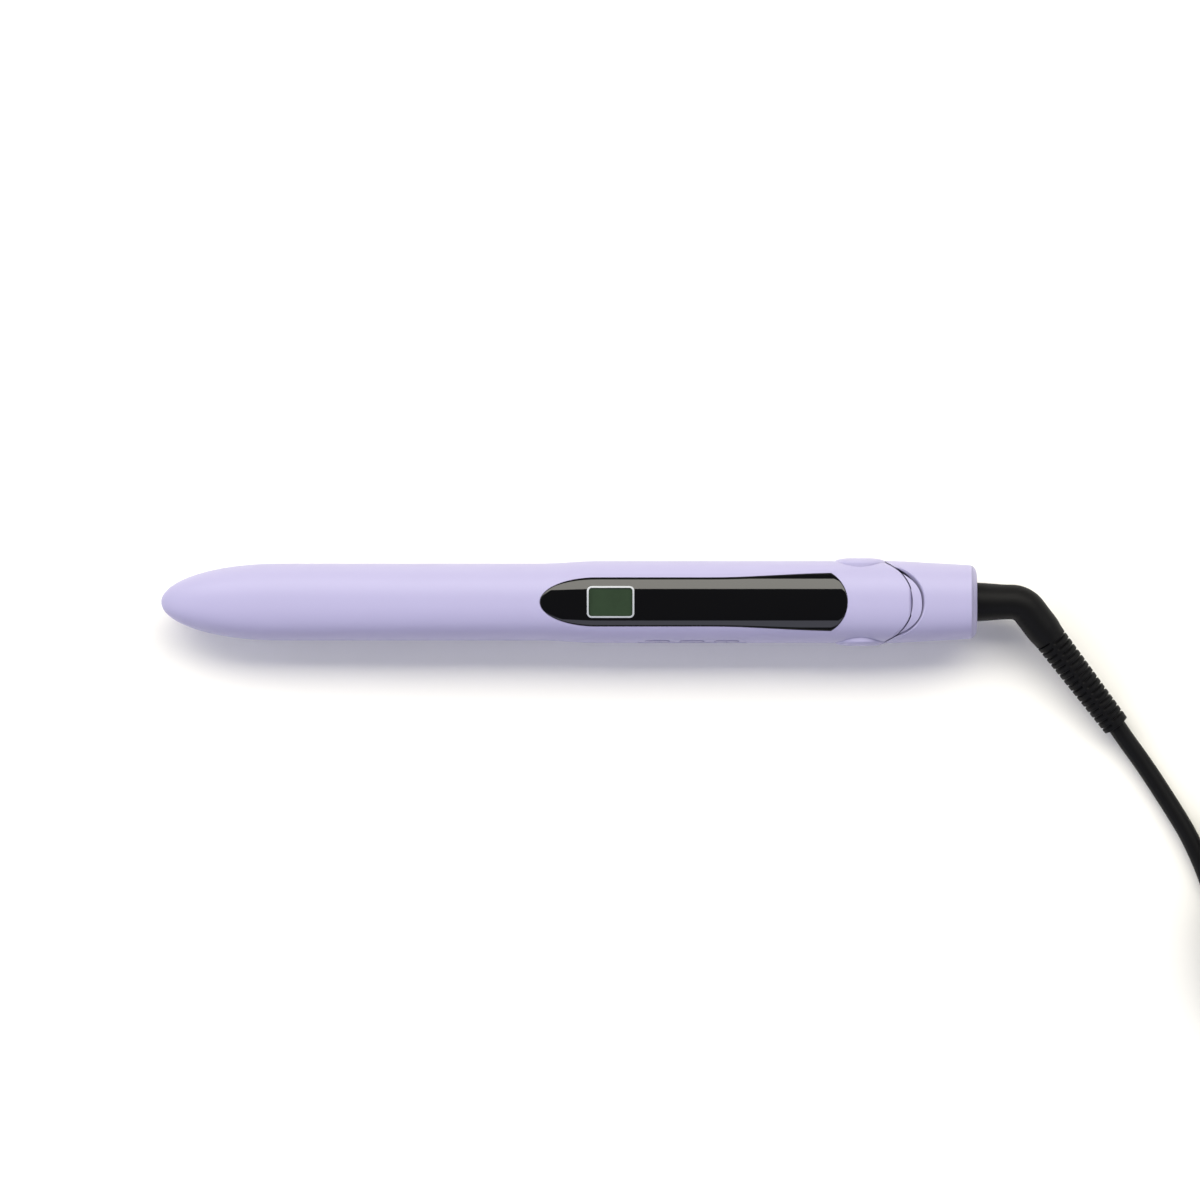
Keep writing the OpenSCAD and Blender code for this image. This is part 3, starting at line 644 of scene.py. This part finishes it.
def mark_tools(kind, x):
    """Small engraved signs: a bar, a cross or a ring."""
    level = MID_Z + BUTTON_U
    face = -side(x, BUTTON_U)

    def bar(half_x, half_z):
        return box_tool("bar", (x - half_x, face - 1, level - half_z),
                        (x + half_x, face + MARK_DEPTH, level + half_z))

    if kind == "minus":
        return [bar(MARK_HALF_L, MARK_HALF_T)]
    if kind == "plus":
        return [bar(MARK_HALF_L, MARK_HALF_T), bar(MARK_HALF_T, MARK_HALF_L)]
    ring = cylinder("ring", RING_R, (x, face - 1, level), (x, face + MARK_DEPTH, level), 40)
    boolean(ring, cylinder("core", RING_CORE_R, (x, face - 2, level), (x, face + 1, level), 40),
            "DIFFERENCE")
    return [ring]


# ---------------------------------------------------------------- arms

BAY_R, DRUM_R, CAP_R = 9.45, 9.25, 9.3
CHEEK_Y0, CHEEK_Y1, CAP_Y1 = 11.4, 12.3, 15.65
BAY_Y0, CLEAR_Y = 11.1, 20               # a cut from the bay's floor to clear of the body
CAP_RIM, CAP_EDGE = 1.35, 0.1


def build_upper_shell():
    shell = arm_loft("upper_shell", COLLAR_X, 1, tail=True)
    hollow = arm_loft("hollow", COLLAR_X, 1, tail=True, inset=WALL, rim=0.1, corner=0.03)
    boolean(shell, hollow, "DIFFERENCE")
    for s in (1, -1):
        tool = cylinder("bay", BAY_R, (HINGE_X, s * BAY_Y0, MID_Z), (HINGE_X, s * CLEAR_Y, MID_Z),
                        160)
        boolean(shell, tool, "DIFFERENCE")
    outline = window_outline(0.13)
    recess = pad("recess", outline, WINDOW_SPINE, on_crown, WINDOW_T + 0.1, edge=0.01, proud=2.0,
                 rings=6)
    boolean(shell, recess, "DIFFERENCE")
    boolean(shell, side_frame_tool("strip", strip_outline(0.05), 1.3), "DIFFERENCE")
    for index in (-1, 0, 1):
        boolean(shell, side_frame_tool("slot", button_outline(index, 0.15), 4.0), "DIFFERENCE")
    smooth_shade(shell)
    dress(shell, "soft_lilac", "upper_arm", "upper_casing")


def build_lower_shell():
    shell = arm_loft("lower_shell", COLLAR_X - 0.05, -1, tail=False)
    hollow = arm_loft("hollow", COLLAR_X + 5, -1, tail=False, inset=WALL, rim=0.1, corner=0.03)
    boolean(shell, hollow, "DIFFERENCE")
    for s in (1, -1):
        drum = lathe("drum", [(DRUM_R - 0.3, 0), (DRUM_R, 0.3), (DRUM_R, CHEEK_Y1 - CHEEK_Y0)],
                     (HINGE_X, s * CHEEK_Y0, MID_Z), (0, s, 0), 160)
        boolean(shell, drum, "UNION")
        tool = cylinder("cap_seat", CAP_R + 0.1, (HINGE_X, s * CHEEK_Y1, MID_Z),
                        (HINGE_X, s * CLEAR_Y, MID_Z), 160)
        boolean(shell, tool, "DIFFERENCE")
    smooth_shade(shell)
    dress(shell, "soft_lilac", "lower_arm", "lower_casing")


def build_hinge_caps():
    for name, s in (("hinge_cap_left", 1), ("hinge_cap_right", -1)):
        height = CAP_Y1 - CHEEK_Y1 - 0.08
        profile = [(0.01, 0.0), (CAP_R - CAP_EDGE, 0.0), (CAP_R, CAP_EDGE), (CAP_R, CAP_RIM)]
        for k in range(1, 21):
            a = math.radians(90 * k / 20)
            profile.append((CAP_R * math.cos(a) ** 0.5 + 0.01,
                            CAP_RIM + (height - CAP_RIM) * math.sin(a)))
        cap = lathe(name + "_dome", profile, (HINGE_X, s * (CHEEK_Y1 + 0.06), MID_Z), (0, s, 0), 128)
        smooth_shade(cap, weighted=False)
        dress(cap, "soft_lilac", "lower_arm", name)


def display_outline(inset, radius):
    return rounded_outline(LCD_X, 0, LCD_L - inset, LCD_W - inset, radius)


def build_window():
    glass = pad("window_glass", window_outline(), WINDOW_SPINE, on_crown,
                WINDOW_T, edge=0.22, proud=-0.03, rings=16)
    hole = prism_tool("hole", display_outline(1.1, 1.2), *THROUGH_Z)
    boolean(glass, hole, "DIFFERENCE")
    smooth_shade(glass, sharp_degrees=60, weighted=False)
    dress(glass, "window_black", "upper_arm", "display_window")
    ring = pad("display_ring", display_outline(0.1, 1.7), (LCD_X - 3, LCD_X + 3), on_crown, 0.5,
               edge=0.04, rings=8)
    hole = prism_tool("hole", display_outline(1.35, 1.1), *THROUGH_Z)
    boolean(ring, hole, "DIFFERENCE")
    smooth_shade(ring, weighted=False)
    dress(ring, "display_frame", "upper_arm", "lcd_frame")
    lens = prism_tool("display_lens", display_outline(1.2, 1.15), MID_Z + LENS_U0, MID_Z + LENS_U1)
    smooth_shade(lens, weighted=False)
    dress(lens, "display_glass", "upper_arm", "lcd_panel")


# ---------------------------------------------------------------- collar

SIDE_ROUND_X, SIDE_ROUND_LEN, SIDE_ROUND = 142.2, 2.8, 3.2
BEVEL_X, BEVEL_LEN, BEVEL_H, BEVEL_CURVE = 142.85, 2.15, 5.2, 1.12
CAVITY_X0, CAVITY_R, BORE_R = 129.5, 8.5, 5.6
SCOOP_X, SCOOP_SIDE_R = 113.65, 12.5
# Each step of the scoop and of the arm's pocket: height over the crown, then radius or gap
SCOOP_STEPS = ((-9.0, 7.2), (-4.0, 10.6), (-2.0, 11.5), (-1.1, 11.95), (-0.45, 12.35),
               (-0.1, 12.7), (0.05, 13.1), (1.2, 14.0))
POCKET_STEPS = ((-4.0, 0.4), (-2.4, 0.12), (1.2, 0.12))
POCKET_FLOOR_GAP, POCKET_FLOOR_U = 0.4, -7.0
SWEEP_GAP, SWEEP_STEP, SWEEP_HALF_COUNT = 0.12, 0.3, 47
# Lower edge of the well behind the arm, as (x, height over the meeting plane)
LEDGE = [(111.0, -5.0), (115.0, -3.0), (118.0, 1.4), (121.8, 4.3), (124.75, 6.3), (131.0, 6.8)]


def collar_size(x):
    """Half width and half height of the collar, with its bevelled end."""
    w, h = half_width(x), half_height(x)
    t = min(1.0, max(0.0, (x - SIDE_ROUND_X) / SIDE_ROUND_LEN))
    w -= SIDE_ROUND * (1 - math.sqrt(1 - t * t))
    h -= BEVEL_H * max(0.0, (x - BEVEL_X) / BEVEL_LEN) ** BEVEL_CURVE
    return w, h


def superellipse(w, h, power, points):
    """Points around a section between an ellipse and a rectangle."""
    section = []
    for k in range(points):
        a = 2 * math.pi * k / points
        c, s = math.cos(a), math.sin(a)
        section.append((math.copysign(abs(c) ** (2 / power), c) * w,
                        math.copysign(abs(s) ** (2 / power), s) * h))
    return section


def collar_ring(x):
    return [(x, y, MID_Z + u) for y, u in superellipse(*collar_size(x), SECTION_POWER, 96)]


def arc_ring(centre_x, radius_at, height_at, limit=14.0, steps=90):
    """Closed ring: an arc over the rear half plane, then straight back to the front."""
    ring = []
    for k in range(steps + 1):
        a = math.radians(-90 + 180 * k / steps)
        r = radius_at(a)
        x, y = centre_x + r * math.cos(a), max(-limit, min(limit, r * math.sin(a)))
        ring.append((x, y, MID_Z + height_at(x, y)))
    for y in (limit, -limit):
        y = max(-abs(ring[0][1]), min(abs(ring[0][1]), y))
        ring.append((104.0, y, MID_Z + height_at(104.0, y)))
    return ring


def arm_pocket():
    """Room for the upper arm's round end, a hair larger than the end itself."""
    low = [arc_ring(TAIL_PLAN_X, lambda a: TAIL_PLAN_R + POCKET_FLOOR_GAP,
                    lambda x, y: POCKET_FLOOR_U)]
    return loft("pocket", low + [
        arc_ring(TAIL_PLAN_X, lambda a, g=gap: TAIL_PLAN_R + g,
                 lambda x, y, d=drop: crown(x, y) + d) for drop, gap in POCKET_STEPS])


def crescent():
    """Scooped step behind the arm, with a soft upper edge in the middle."""
    return loft("crescent", [
        arc_ring(SCOOP_X, lambda a, r=radius: mix(min(r, SCOOP_SIDE_R), r,
                                                  max(0.0, math.cos(a)) ** 1.5),
                 lambda x, y, d=drop: crown(x, y) + d) for drop, radius in SCOOP_STEPS])


def tail_sweep():
    """What the end of the upper arm passes through as the arm opens."""
    profile = []
    for k in range(-SWEEP_HALF_COUNT, SWEEP_HALF_COUNT + 1):
        y = k * SWEEP_STEP
        x = TAIL_PLAN_X + math.sqrt(TAIL_PLAN_R ** 2 - y * y)
        reach = math.hypot(x - HINGE_X, crown(min(x, COLLAR_X), y))
        profile.append((min(reach, TAIL_R) + SWEEP_GAP, y))
    return lathe("sweep", profile, (HINGE_X, 0, MID_Z), (0, 1, 0), 240)


def above_ledge():
    outline = LEDGE + [(131.0, 30.0), (111.0, 30.0)]
    return loft("ledge", [[(x, y, MID_Z + u) for x, u in outline] for y in (-16, 16)])


def build_collar():
    xs = even_stations(COLLAR_X + 0.05, 142.0, 0.9) + even_stations(142.0, END_RING_X, 0.2)[1:]
    collar = loft("rear_collar_shell", [collar_ring(x) for x in xs])
    for tool in (arm_pocket(), tail_sweep()):
        boolean(tool, above_ledge(), "INTERSECT")
        boolean(collar, tool, "DIFFERENCE")
    boolean(collar, crescent(), "DIFFERENCE")
    boolean(collar, cylinder("cavity", CAVITY_R, (CAVITY_X0, 0, MID_Z), (150, 0, MID_Z)), "DIFFERENCE")
    smooth_shade(collar)
    dress(collar, "soft_lilac", "lower_arm", "rear_collar")
    xs = even_stations(END_RING_X + 0.07, REAR_X, 0.12)
    end = loft("collar_end_plate", [collar_ring(x) for x in xs])
    boolean(end, cylinder("bore", BORE_R, (140, 0, MID_Z), (150, 0, MID_Z)), "DIFFERENCE")
    smooth_shade(end)
    dress(end, "soft_lilac", "lower_arm", "collar_end_ring")


# ---------------------------------------------------------------- cord

ELBOW_X0, ELBOW_CORNER_X = 145.25, 161.3
ELBOW_BEND, ELBOW_TILT, ELBOW_BEND_R = 53.1, 12.0, 8.2
LEG_LEN = 56.0
ELBOW_EXIT_R, ELBOW_R, RELIEF_R, LEG_END_R, LEG_MOUTH_R = 6.85, 6.2, 5.75, 4.85, 3.3
RIB_START, RIB_PITCH, RIB_COUNT, RIB_DEPTH = 16.7, 2.5, 15, 0.85
RIB_SLOT_HALF, RIB_SLOT_EDGE = 0.30, 0.22      # half width of a slot, and of its soft edge
RIB_OPEN, RIB_OPEN_EDGE = 1.35, 0.18           # the same around the leg, in radians
LEG_DIR = Vector((math.cos(math.radians(ELBOW_BEND)),
                  -math.sin(math.radians(ELBOW_BEND)) * math.cos(math.radians(ELBOW_TILT)),
                  -math.sin(math.radians(ELBOW_BEND)) * math.sin(math.radians(ELBOW_TILT))))
ELBOW_CORNER = Vector((ELBOW_CORNER_X, 0, MID_Z))
LEG_END = ELBOW_CORNER + LEG_LEN * LEG_DIR
CORD_ROUTE = [
    (198.6, -49.1, 4.8), (202.9, -55.0, 4.0), (207.2, -61.2, 3.5), (211.4, -67.6, 3.3),
    (215.6, -74.2, 3.25), (219.9, -81.3, 3.25), (223.5, -88.4, 3.25), (226.5, -95.4, 3.25),
    (228.9, -102.4, 3.25),
]
PLUG_ROUTE = [
    (285.0, -144.0, 22.8), (292.0, -141.0, 23.2), (298.0, -135.5, 24.2), (302.5, -128.5, 25.2),
    (305.2, -121.0, 26.0), (306.0, -114.0, 26.4),
]
PLUG_POS = Vector(PLUG_ROUTE[-1])
ELBOW_GRIP, PLUG_GRIP = 8.0, 4.0        # how far the cord reaches into each
COIL_CENTRE = Vector((276.0, -111.0, 0.0))
COIL_MID_R, COIL_W, COIL_H = 35.75, 26.0, 19.5
COIL_COLUMNS = (45.5, 39.0, 32.5, 26.0)
TIE_ANGLE, TIE_W, TIE_T = -90.0, 12.0, 1.2
TIE_CORNER_R = 3.2
COIL_START = 180.0
# Where the cord leaves the coil over the tie, as (angle, radius, height)
COIL_LEAVE = ((180, 26.3, 16.4), (200, 26.2, 16.8), (220, 26.5, 17.8), (238, 27.8, 19.7),
              (254, 30.3, 21.7), (270, 32.8, 22.7))


def coil_turns():
    """Radius and height of each turn, wound in, out and in again."""
    rows = [CORD_D * (0.5 + k) for k in range(3)]
    turns = [(r, rows[0]) for r in COIL_COLUMNS]
    turns += [(r, rows[1]) for r in reversed(COIL_COLUMNS)]
    turns += [(r, rows[2]) for r in COIL_COLUMNS[:3]]
    return turns


def coil_points(per_turn=36):
    turns = coil_turns()
    leave = (COIL_LEAVE[0][1], CORD_D * 2.5 + 0.1)
    points = []
    for i, (r0, z0) in enumerate(turns):
        r1, z1 = turns[i + 1] if i + 1 < len(turns) else leave
        for k in range(per_turn):
            t = k / per_turn
            shift = smooth_step((t - 0.84) / 0.16)
            angle = COIL_START + 360 * t
            points.append(coil_point(angle, mix(r0, r1, shift), mix(z0, z1, shift), i + t))
    for angle, r, z in COIL_LEAVE:
        points.append(coil_point(angle, r, z, 0))
    return points


def coil_point(angle, r, z, count):
    """Point of the coil; the turns are drawn together under the tie and waver a little."""
    off = abs((angle - TIE_ANGLE + 180) % 360 - 180)
    squeeze = 1 - smooth_step((off - 10) / 16)
    r = COIL_MID_R + (r - COIL_MID_R) * (1 - 0.13 * squeeze)
    middle = COIL_H / 2
    z = middle + (z - middle) * (1 - 0.19 * squeeze)
    waver = 0.10 * math.sin(math.radians(angle * 3 + 47 * math.floor(count)))
    a = math.radians(angle)
    return COIL_CENTRE + Vector(((r + waver) * math.cos(a), (r + waver) * math.sin(a), z))


def spline_through(points, spacing):
    """Centripetal-like smooth line through the points, sampled about every spacing."""
    points = [Vector(p) for p in points]
    line = []
    for i in range(len(points) - 1):
        p1, p2 = points[i], points[i + 1]
        p0 = points[i - 1] if i else p1 * 2 - p2
        p3 = points[i + 2] if i + 2 < len(points) else p2 * 2 - p1
        d = max(1e-6, (p2 - p1).length)
        m1 = ((p2 - p0) / max(1e-6, (p2 - p0).length)) * d
        m2 = ((p3 - p1) / max(1e-6, (p3 - p1).length)) * d
        steps = max(1, round(d / spacing))
        for k in range(steps):
            t = k / steps
            line.append((2 * t ** 3 - 3 * t ** 2 + 1) * p1 + (t ** 3 - 2 * t ** 2 + t) * m1
                        + (3 * t ** 2 - 2 * t ** 3) * p2 + (t ** 3 - t ** 2) * m2)
    line.append(points[-1])
    return line


def build_cord():
    inside = [LEG_END - ELBOW_GRIP * LEG_DIR, LEG_END]
    control = inside + list(CORD_ROUTE) + coil_points() + list(PLUG_ROUTE)
    control.append(PLUG_POS + Vector((0, PLUG_GRIP, 0)))
    line = spline_through(control, 2.2)
    data = bpy.data.curves.new("mains_cord", "CURVE")
    data.dimensions = "3D"
    data.bevel_depth = CORD_D / 2 * MM
    data.bevel_resolution = 5
    data.use_fill_caps = True
    spline = data.splines.new("POLY")
    spline.points.add(len(line) - 1)
    for point, place in zip(spline.points, line):
        point.co = (*(place * MM), 1)
    spline.use_smooth = True
    curve = bpy.data.objects.new("mains_cord", data)
    scene.collection.objects.link(curve)
    return dress(curve, "cord_black", "cord_set", "cord", "cord_coil")


def elbow_frames():
    """Centre points and directions along the elbow, with the distance along its leg."""
    bend = math.radians(ELBOW_BEND)
    tangent = ELBOW_BEND_R * math.tan(bend / 2)
    tilt_turn = Matrix.Rotation(math.radians(ELBOW_TILT), 3, "X")
    places = []
    for x in even_stations(ELBOW_X0, ELBOW_CORNER_X - tangent, 0.8):
        places.append((Vector((x, 0, 0)), Vector((1, 0, 0)), x - ELBOW_CORNER_X))
    centre = Vector((ELBOW_CORNER_X - tangent, -ELBOW_BEND_R, 0))
    for k in range(1, 21):
        a = bend * k / 20
        places.append((centre + ELBOW_BEND_R * Vector((math.sin(a), math.cos(a), 0)),
                       Vector((math.cos(a), -math.sin(a), 0)), -tangent + 2 * tangent * k / 20))
    leg = Vector((math.cos(bend), -math.sin(bend), 0))
    for s in even_stations(tangent, LEG_LEN, 0.18)[1:]:
        places.append((Vector((ELBOW_CORNER_X, 0, 0)) + leg * s, leg, s))
    lift = Vector((0, 0, MID_Z))
    return [(tilt_turn @ p + lift, tilt_turn @ d, s) for p, d, s in places]


def elbow_radius(s):
    """Radius at a distance along the leg, counted from the elbow's corner."""
    start = ELBOW_X0 - ELBOW_CORNER_X
    if s < 0:
        return mix(ELBOW_EXIT_R, ELBOW_R, smooth_step((s - start) / 11))
    if s < 12:
        return ELBOW_R
    if s < RIB_START:
        return mix(ELBOW_R, RELIEF_R, smooth_step((s - 12) / (RIB_START - 12)))
    return mix(RELIEF_R, LEG_END_R, (s - RIB_START) / (LEG_LEN - RIB_START))


def rib_depth(s, angle):
    """Slots of the strain relief: half rings that alternate from side to side."""
    rib_end = RIB_START + RIB_COUNT * RIB_PITCH
    if not RIB_START < s < rib_end + 0.8:
        return 0.0
    depth = 0.0
    for phase, centre in ((0.0, 0.0), (0.5, math.pi)):
        t = (s - RIB_START) / RIB_PITCH + phase
        across = abs((t % 1) - 0.5) * RIB_PITCH
        slot = 1 - smooth_step((across - RIB_SLOT_HALF) / RIB_SLOT_EDGE)
        away = abs((angle - centre + math.pi) % (2 * math.pi) - math.pi)
        open_side = 1 - smooth_step((away - RIB_OPEN) / RIB_OPEN_EDGE)
        depth = max(depth, slot * open_side)
    return RIB_DEPTH * depth


def build_elbow():
    sides = 96
    rings = []
    up = Matrix.Rotation(math.radians(ELBOW_TILT), 3, "X") @ Vector((0, 0, 1))
    for centre, direction, s in elbow_frames():
        across = up.cross(direction).normalized()
        radius = elbow_radius(s)
        ring = []
        for k in range(sides):
            a = 2 * math.pi * k / sides
            r = radius - rib_depth(s, a)
            ring.append(centre + r * (math.cos(a) * across + math.sin(a) * up))
        rings.append(ring)
    last_ring = rings[-1]
    for inset in (0.35, LEG_END_R - LEG_MOUTH_R):
        rings.append([centre + (p - centre) * (1 - inset / LEG_END_R) + direction * 0.12
                      for p in last_ring])
    elbow = loft("swivel_elbow", rings)
    smooth_shade(elbow, sharp_degrees=50, weighted=False)
    return dress(elbow, "rubber_black", "cord_set", "cord_elbow")


def bundle_ring(angle, inset):
    """Rounded rectangle around the bundle of turns in the plane at one angle."""
    a = math.radians(angle)
    outline = rounded_outline(COIL_MID_R, COIL_H / 2, COIL_W - 2 * inset, COIL_H - 2 * inset,
                              TIE_CORNER_R, corner_steps=7)
    return [COIL_CENTRE + Vector((r * math.cos(a), r * math.sin(a), z)) for r, z in outline]


def build_tie():
    half_angle = math.degrees(TIE_W / 2 / COIL_MID_R)
    rings = []
    for offset, inset in ((-1.0, 0.35), (-0.96, 0.1), (-0.9, 0.0), (0, 0.0), (0.9, 0.0),
                          (0.96, 0.1), (1.0, 0.35)):
        rings.append(bundle_ring(TIE_ANGLE + offset * half_angle, inset))
    for offset in (1.0, -1.0):
        rings.append(bundle_ring(TIE_ANGLE + offset * half_angle, TIE_T - 0.2))
    rings.append(rings[0])
    tie = loft("cord_tie_strap", rings, close_ends=False)
    smooth_shade(tie, weighted=False)
    return dress(tie, "tie_fabric", "cord_set", "coil_tie")


# ---------------------------------------------------------------- plug

PLUG_RELIEF_L, PLUG_L, PLUG_W, PLUG_H = 12.0, 36.0, 35.3, 13.7
PIN_L, PIN_PITCH, PIN_R, PIN_TIP_L = 19.0, 19.0, 1.96, 1.2
SLEEVE_L, SLEEVE_R = 10.0, 2.0
PLUG_EDGE, PLUG_EDGE_IN = 1.6, 1.2      # length and depth of the rounded front edge


def plug_section(t):
    """Half width, half height and roundness of the plug at distance t from the cord's end."""
    wide = mix(5.6, PLUG_W / 2, smooth_step((t - 11) / 24))
    high = mix(5.4, PLUG_H / 2, smooth_step((t - 9) / 12))
    if t < PLUG_RELIEF_L:
        r = mix(4.1, 5.5, t / PLUG_RELIEF_L)
        groove = 0.55 if 1.5 < t < 11 and (t % 2.4) < 0.9 else 0.0
        return r - groove, r - groove, 2.0
    return wide, high, mix(2.0, 4.2, smooth_step((t - 12) / 16))


def build_plug():
    end = PLUG_RELIEF_L + PLUG_L
    rings = []
    for t in even_stations(0, PLUG_RELIEF_L, 0.15) + even_stations(PLUG_RELIEF_L, end, 0.8)[1:]:
        w, h, power = plug_section(t)
        edge = max(0.0, t - (end - PLUG_EDGE)) / PLUG_EDGE
        shrink = PLUG_EDGE_IN * (1 - math.sqrt(max(0.0, 1 - edge * edge)))
        rings.append(plug_ring(t, w - shrink, h - shrink, power))
    plug = loft("mains_plug", rings)
    smooth_shade(plug, sharp_degrees=45, weighted=False)
    dress(plug, "plug_black", "cord_set", "plug_body")
    bases = [PLUG_POS + Vector((s * PIN_PITCH / 2, end, 0)) for s in (-1, 1)]
    profile = [(PIN_R, -0.3), (PIN_R, PIN_L - PIN_TIP_L)]
    for k in range(1, 7):
        a = math.radians(75 * k / 6)
        profile.append((PIN_R - 1.0 * (1 - math.cos(a)), PIN_L - PIN_TIP_L + 1.15 * math.sin(a)))
    metal = join("plug_pin_pair", [lathe("pin", profile, base, (0, 1, 0), 40) for base in bases])
    smooth_shade(metal, weighted=False)
    dress(metal, "steel", "cord_set", "plug_pins")
    profile = [(1.9, -0.2), (SLEEVE_R, 0.0), (SLEEVE_R, 9.8), (1.9, SLEEVE_L), (1.5, SLEEVE_L)]
    sleeves = join("pin_sleeves", [lathe("sleeve", profile, base, (0, 1, 0), 40)
                                   for base in bases])
    smooth_shade(sleeves, weighted=False)
    dress(sleeves, "plug_black", "cord_set")
    return plug, metal, sleeves


def plug_ring(t, w, h, power):
    return [PLUG_POS + Vector((x, t, z)) for x, z in superellipse(w, h, power, 72)]


def join(name, objects):
    """Joins meshes into one object."""
    work = bmesh.new()
    for obj in objects:
        work.from_mesh(obj.data)
        bpy.data.objects.remove(obj)
    mesh = bpy.data.meshes.new(name)
    work.to_mesh(mesh)
    work.free()
    joined = bpy.data.objects.new(name, mesh)
    scene.collection.objects.link(joined)
    return joined


# ---------------------------------------------------------------- plate springs

SPRING_XS, SPRING_YS = (-119.0, -47.0), (-4.5, 4.5)
SPRING_R, SPRING_WIRE_R, SPRING_TURNS = 2.0, 0.35, 4
SPRING_U0, SPRING_U1 = 3.55, 7.2     # wire centres, from the meeting plane


def spring_coil(x, y, sign, steps=24, sides=10):
    """One coil spring as a tube along a helix."""
    rings = []
    for i in range(SPRING_TURNS * steps + 1):
        turn = 2 * math.pi * i / steps
        u = mix(SPRING_U0, SPRING_U1, i / (SPRING_TURNS * steps))
        ring = []
        for k in range(sides):
            a = 2 * math.pi * k / sides
            r = SPRING_R + SPRING_WIRE_R * math.cos(a)
            ring.append((x + r * math.cos(turn), y + r * math.sin(turn),
                         MID_Z + sign * (u + SPRING_WIRE_R * math.sin(a))))
        rings.append(ring)
    return loft("spring", rings)


def build_plate_springs():
    """Four springs behind each plate."""
    for sign, arm in ((1, "upper"), (-1, "lower")):
        springs = join(f"{arm}_float_springs",
                       [spring_coil(x, y, sign) for x in SPRING_XS for y in SPRING_YS])
        smooth_shade(springs, 60)
        dress(springs, "steel", f"{arm}_arm", f"{arm}_plate_springs")
        apply_modifiers(springs)
        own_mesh(springs)


# ---------------------------------------------------------------- CAD nodes that stay

SOFT_EDGES = {
    "upper_plate": 0.9, "lower_plate": 0.9, "upper_inner_cover": 0.18, "lower_inner_cover": 0.18,
    "upper_plate_carrier": 0.15, "lower_plate_carrier": 0.15, "lcd_holder": 0.15,
    "control_board": 0.08, "board_switches": 0.12, "upper_heating_element": 0.2,
    "lower_heating_element": 0.2, "contact_leaves": 0.08, "swivel_core": 0.2,
    "swivel_retainer": 0.2, "slip_rings": 0.08, "hinge_pin": 0.2,
}


def dress_cad_nodes():
    """Every CAD node gets its slot's material; plain blocks get softened edges."""
    slots = {p["node"]: p["material_slot"] for p in frame["record"]["subparts"]}
    for name, node in nodes.items():
        node.data.materials.clear()
        node.data.materials.append(MATERIALS[slots[name]])
        if name in SOFT_EDGES:
            bevel = node.modifiers.new("soft_edges", "BEVEL")
            bevel.width = SOFT_EDGES[name] * MM
            bevel.segments = 3
            bevel.limit_method = "ANGLE"
            bevel.angle_limit = math.radians(40)


# ---------------------------------------------------------------- build

add_camera()
add_stage()
cord = build_cord()
elbow = build_elbow()
tie = build_tie()
plug, plug_metal, plug_sleeves = build_plug()
dress_cad_nodes()
build_upper_shell()
build_lower_shell()
build_hinge_caps()
build_window()
build_controls()
build_collar()
build_plate_springs()
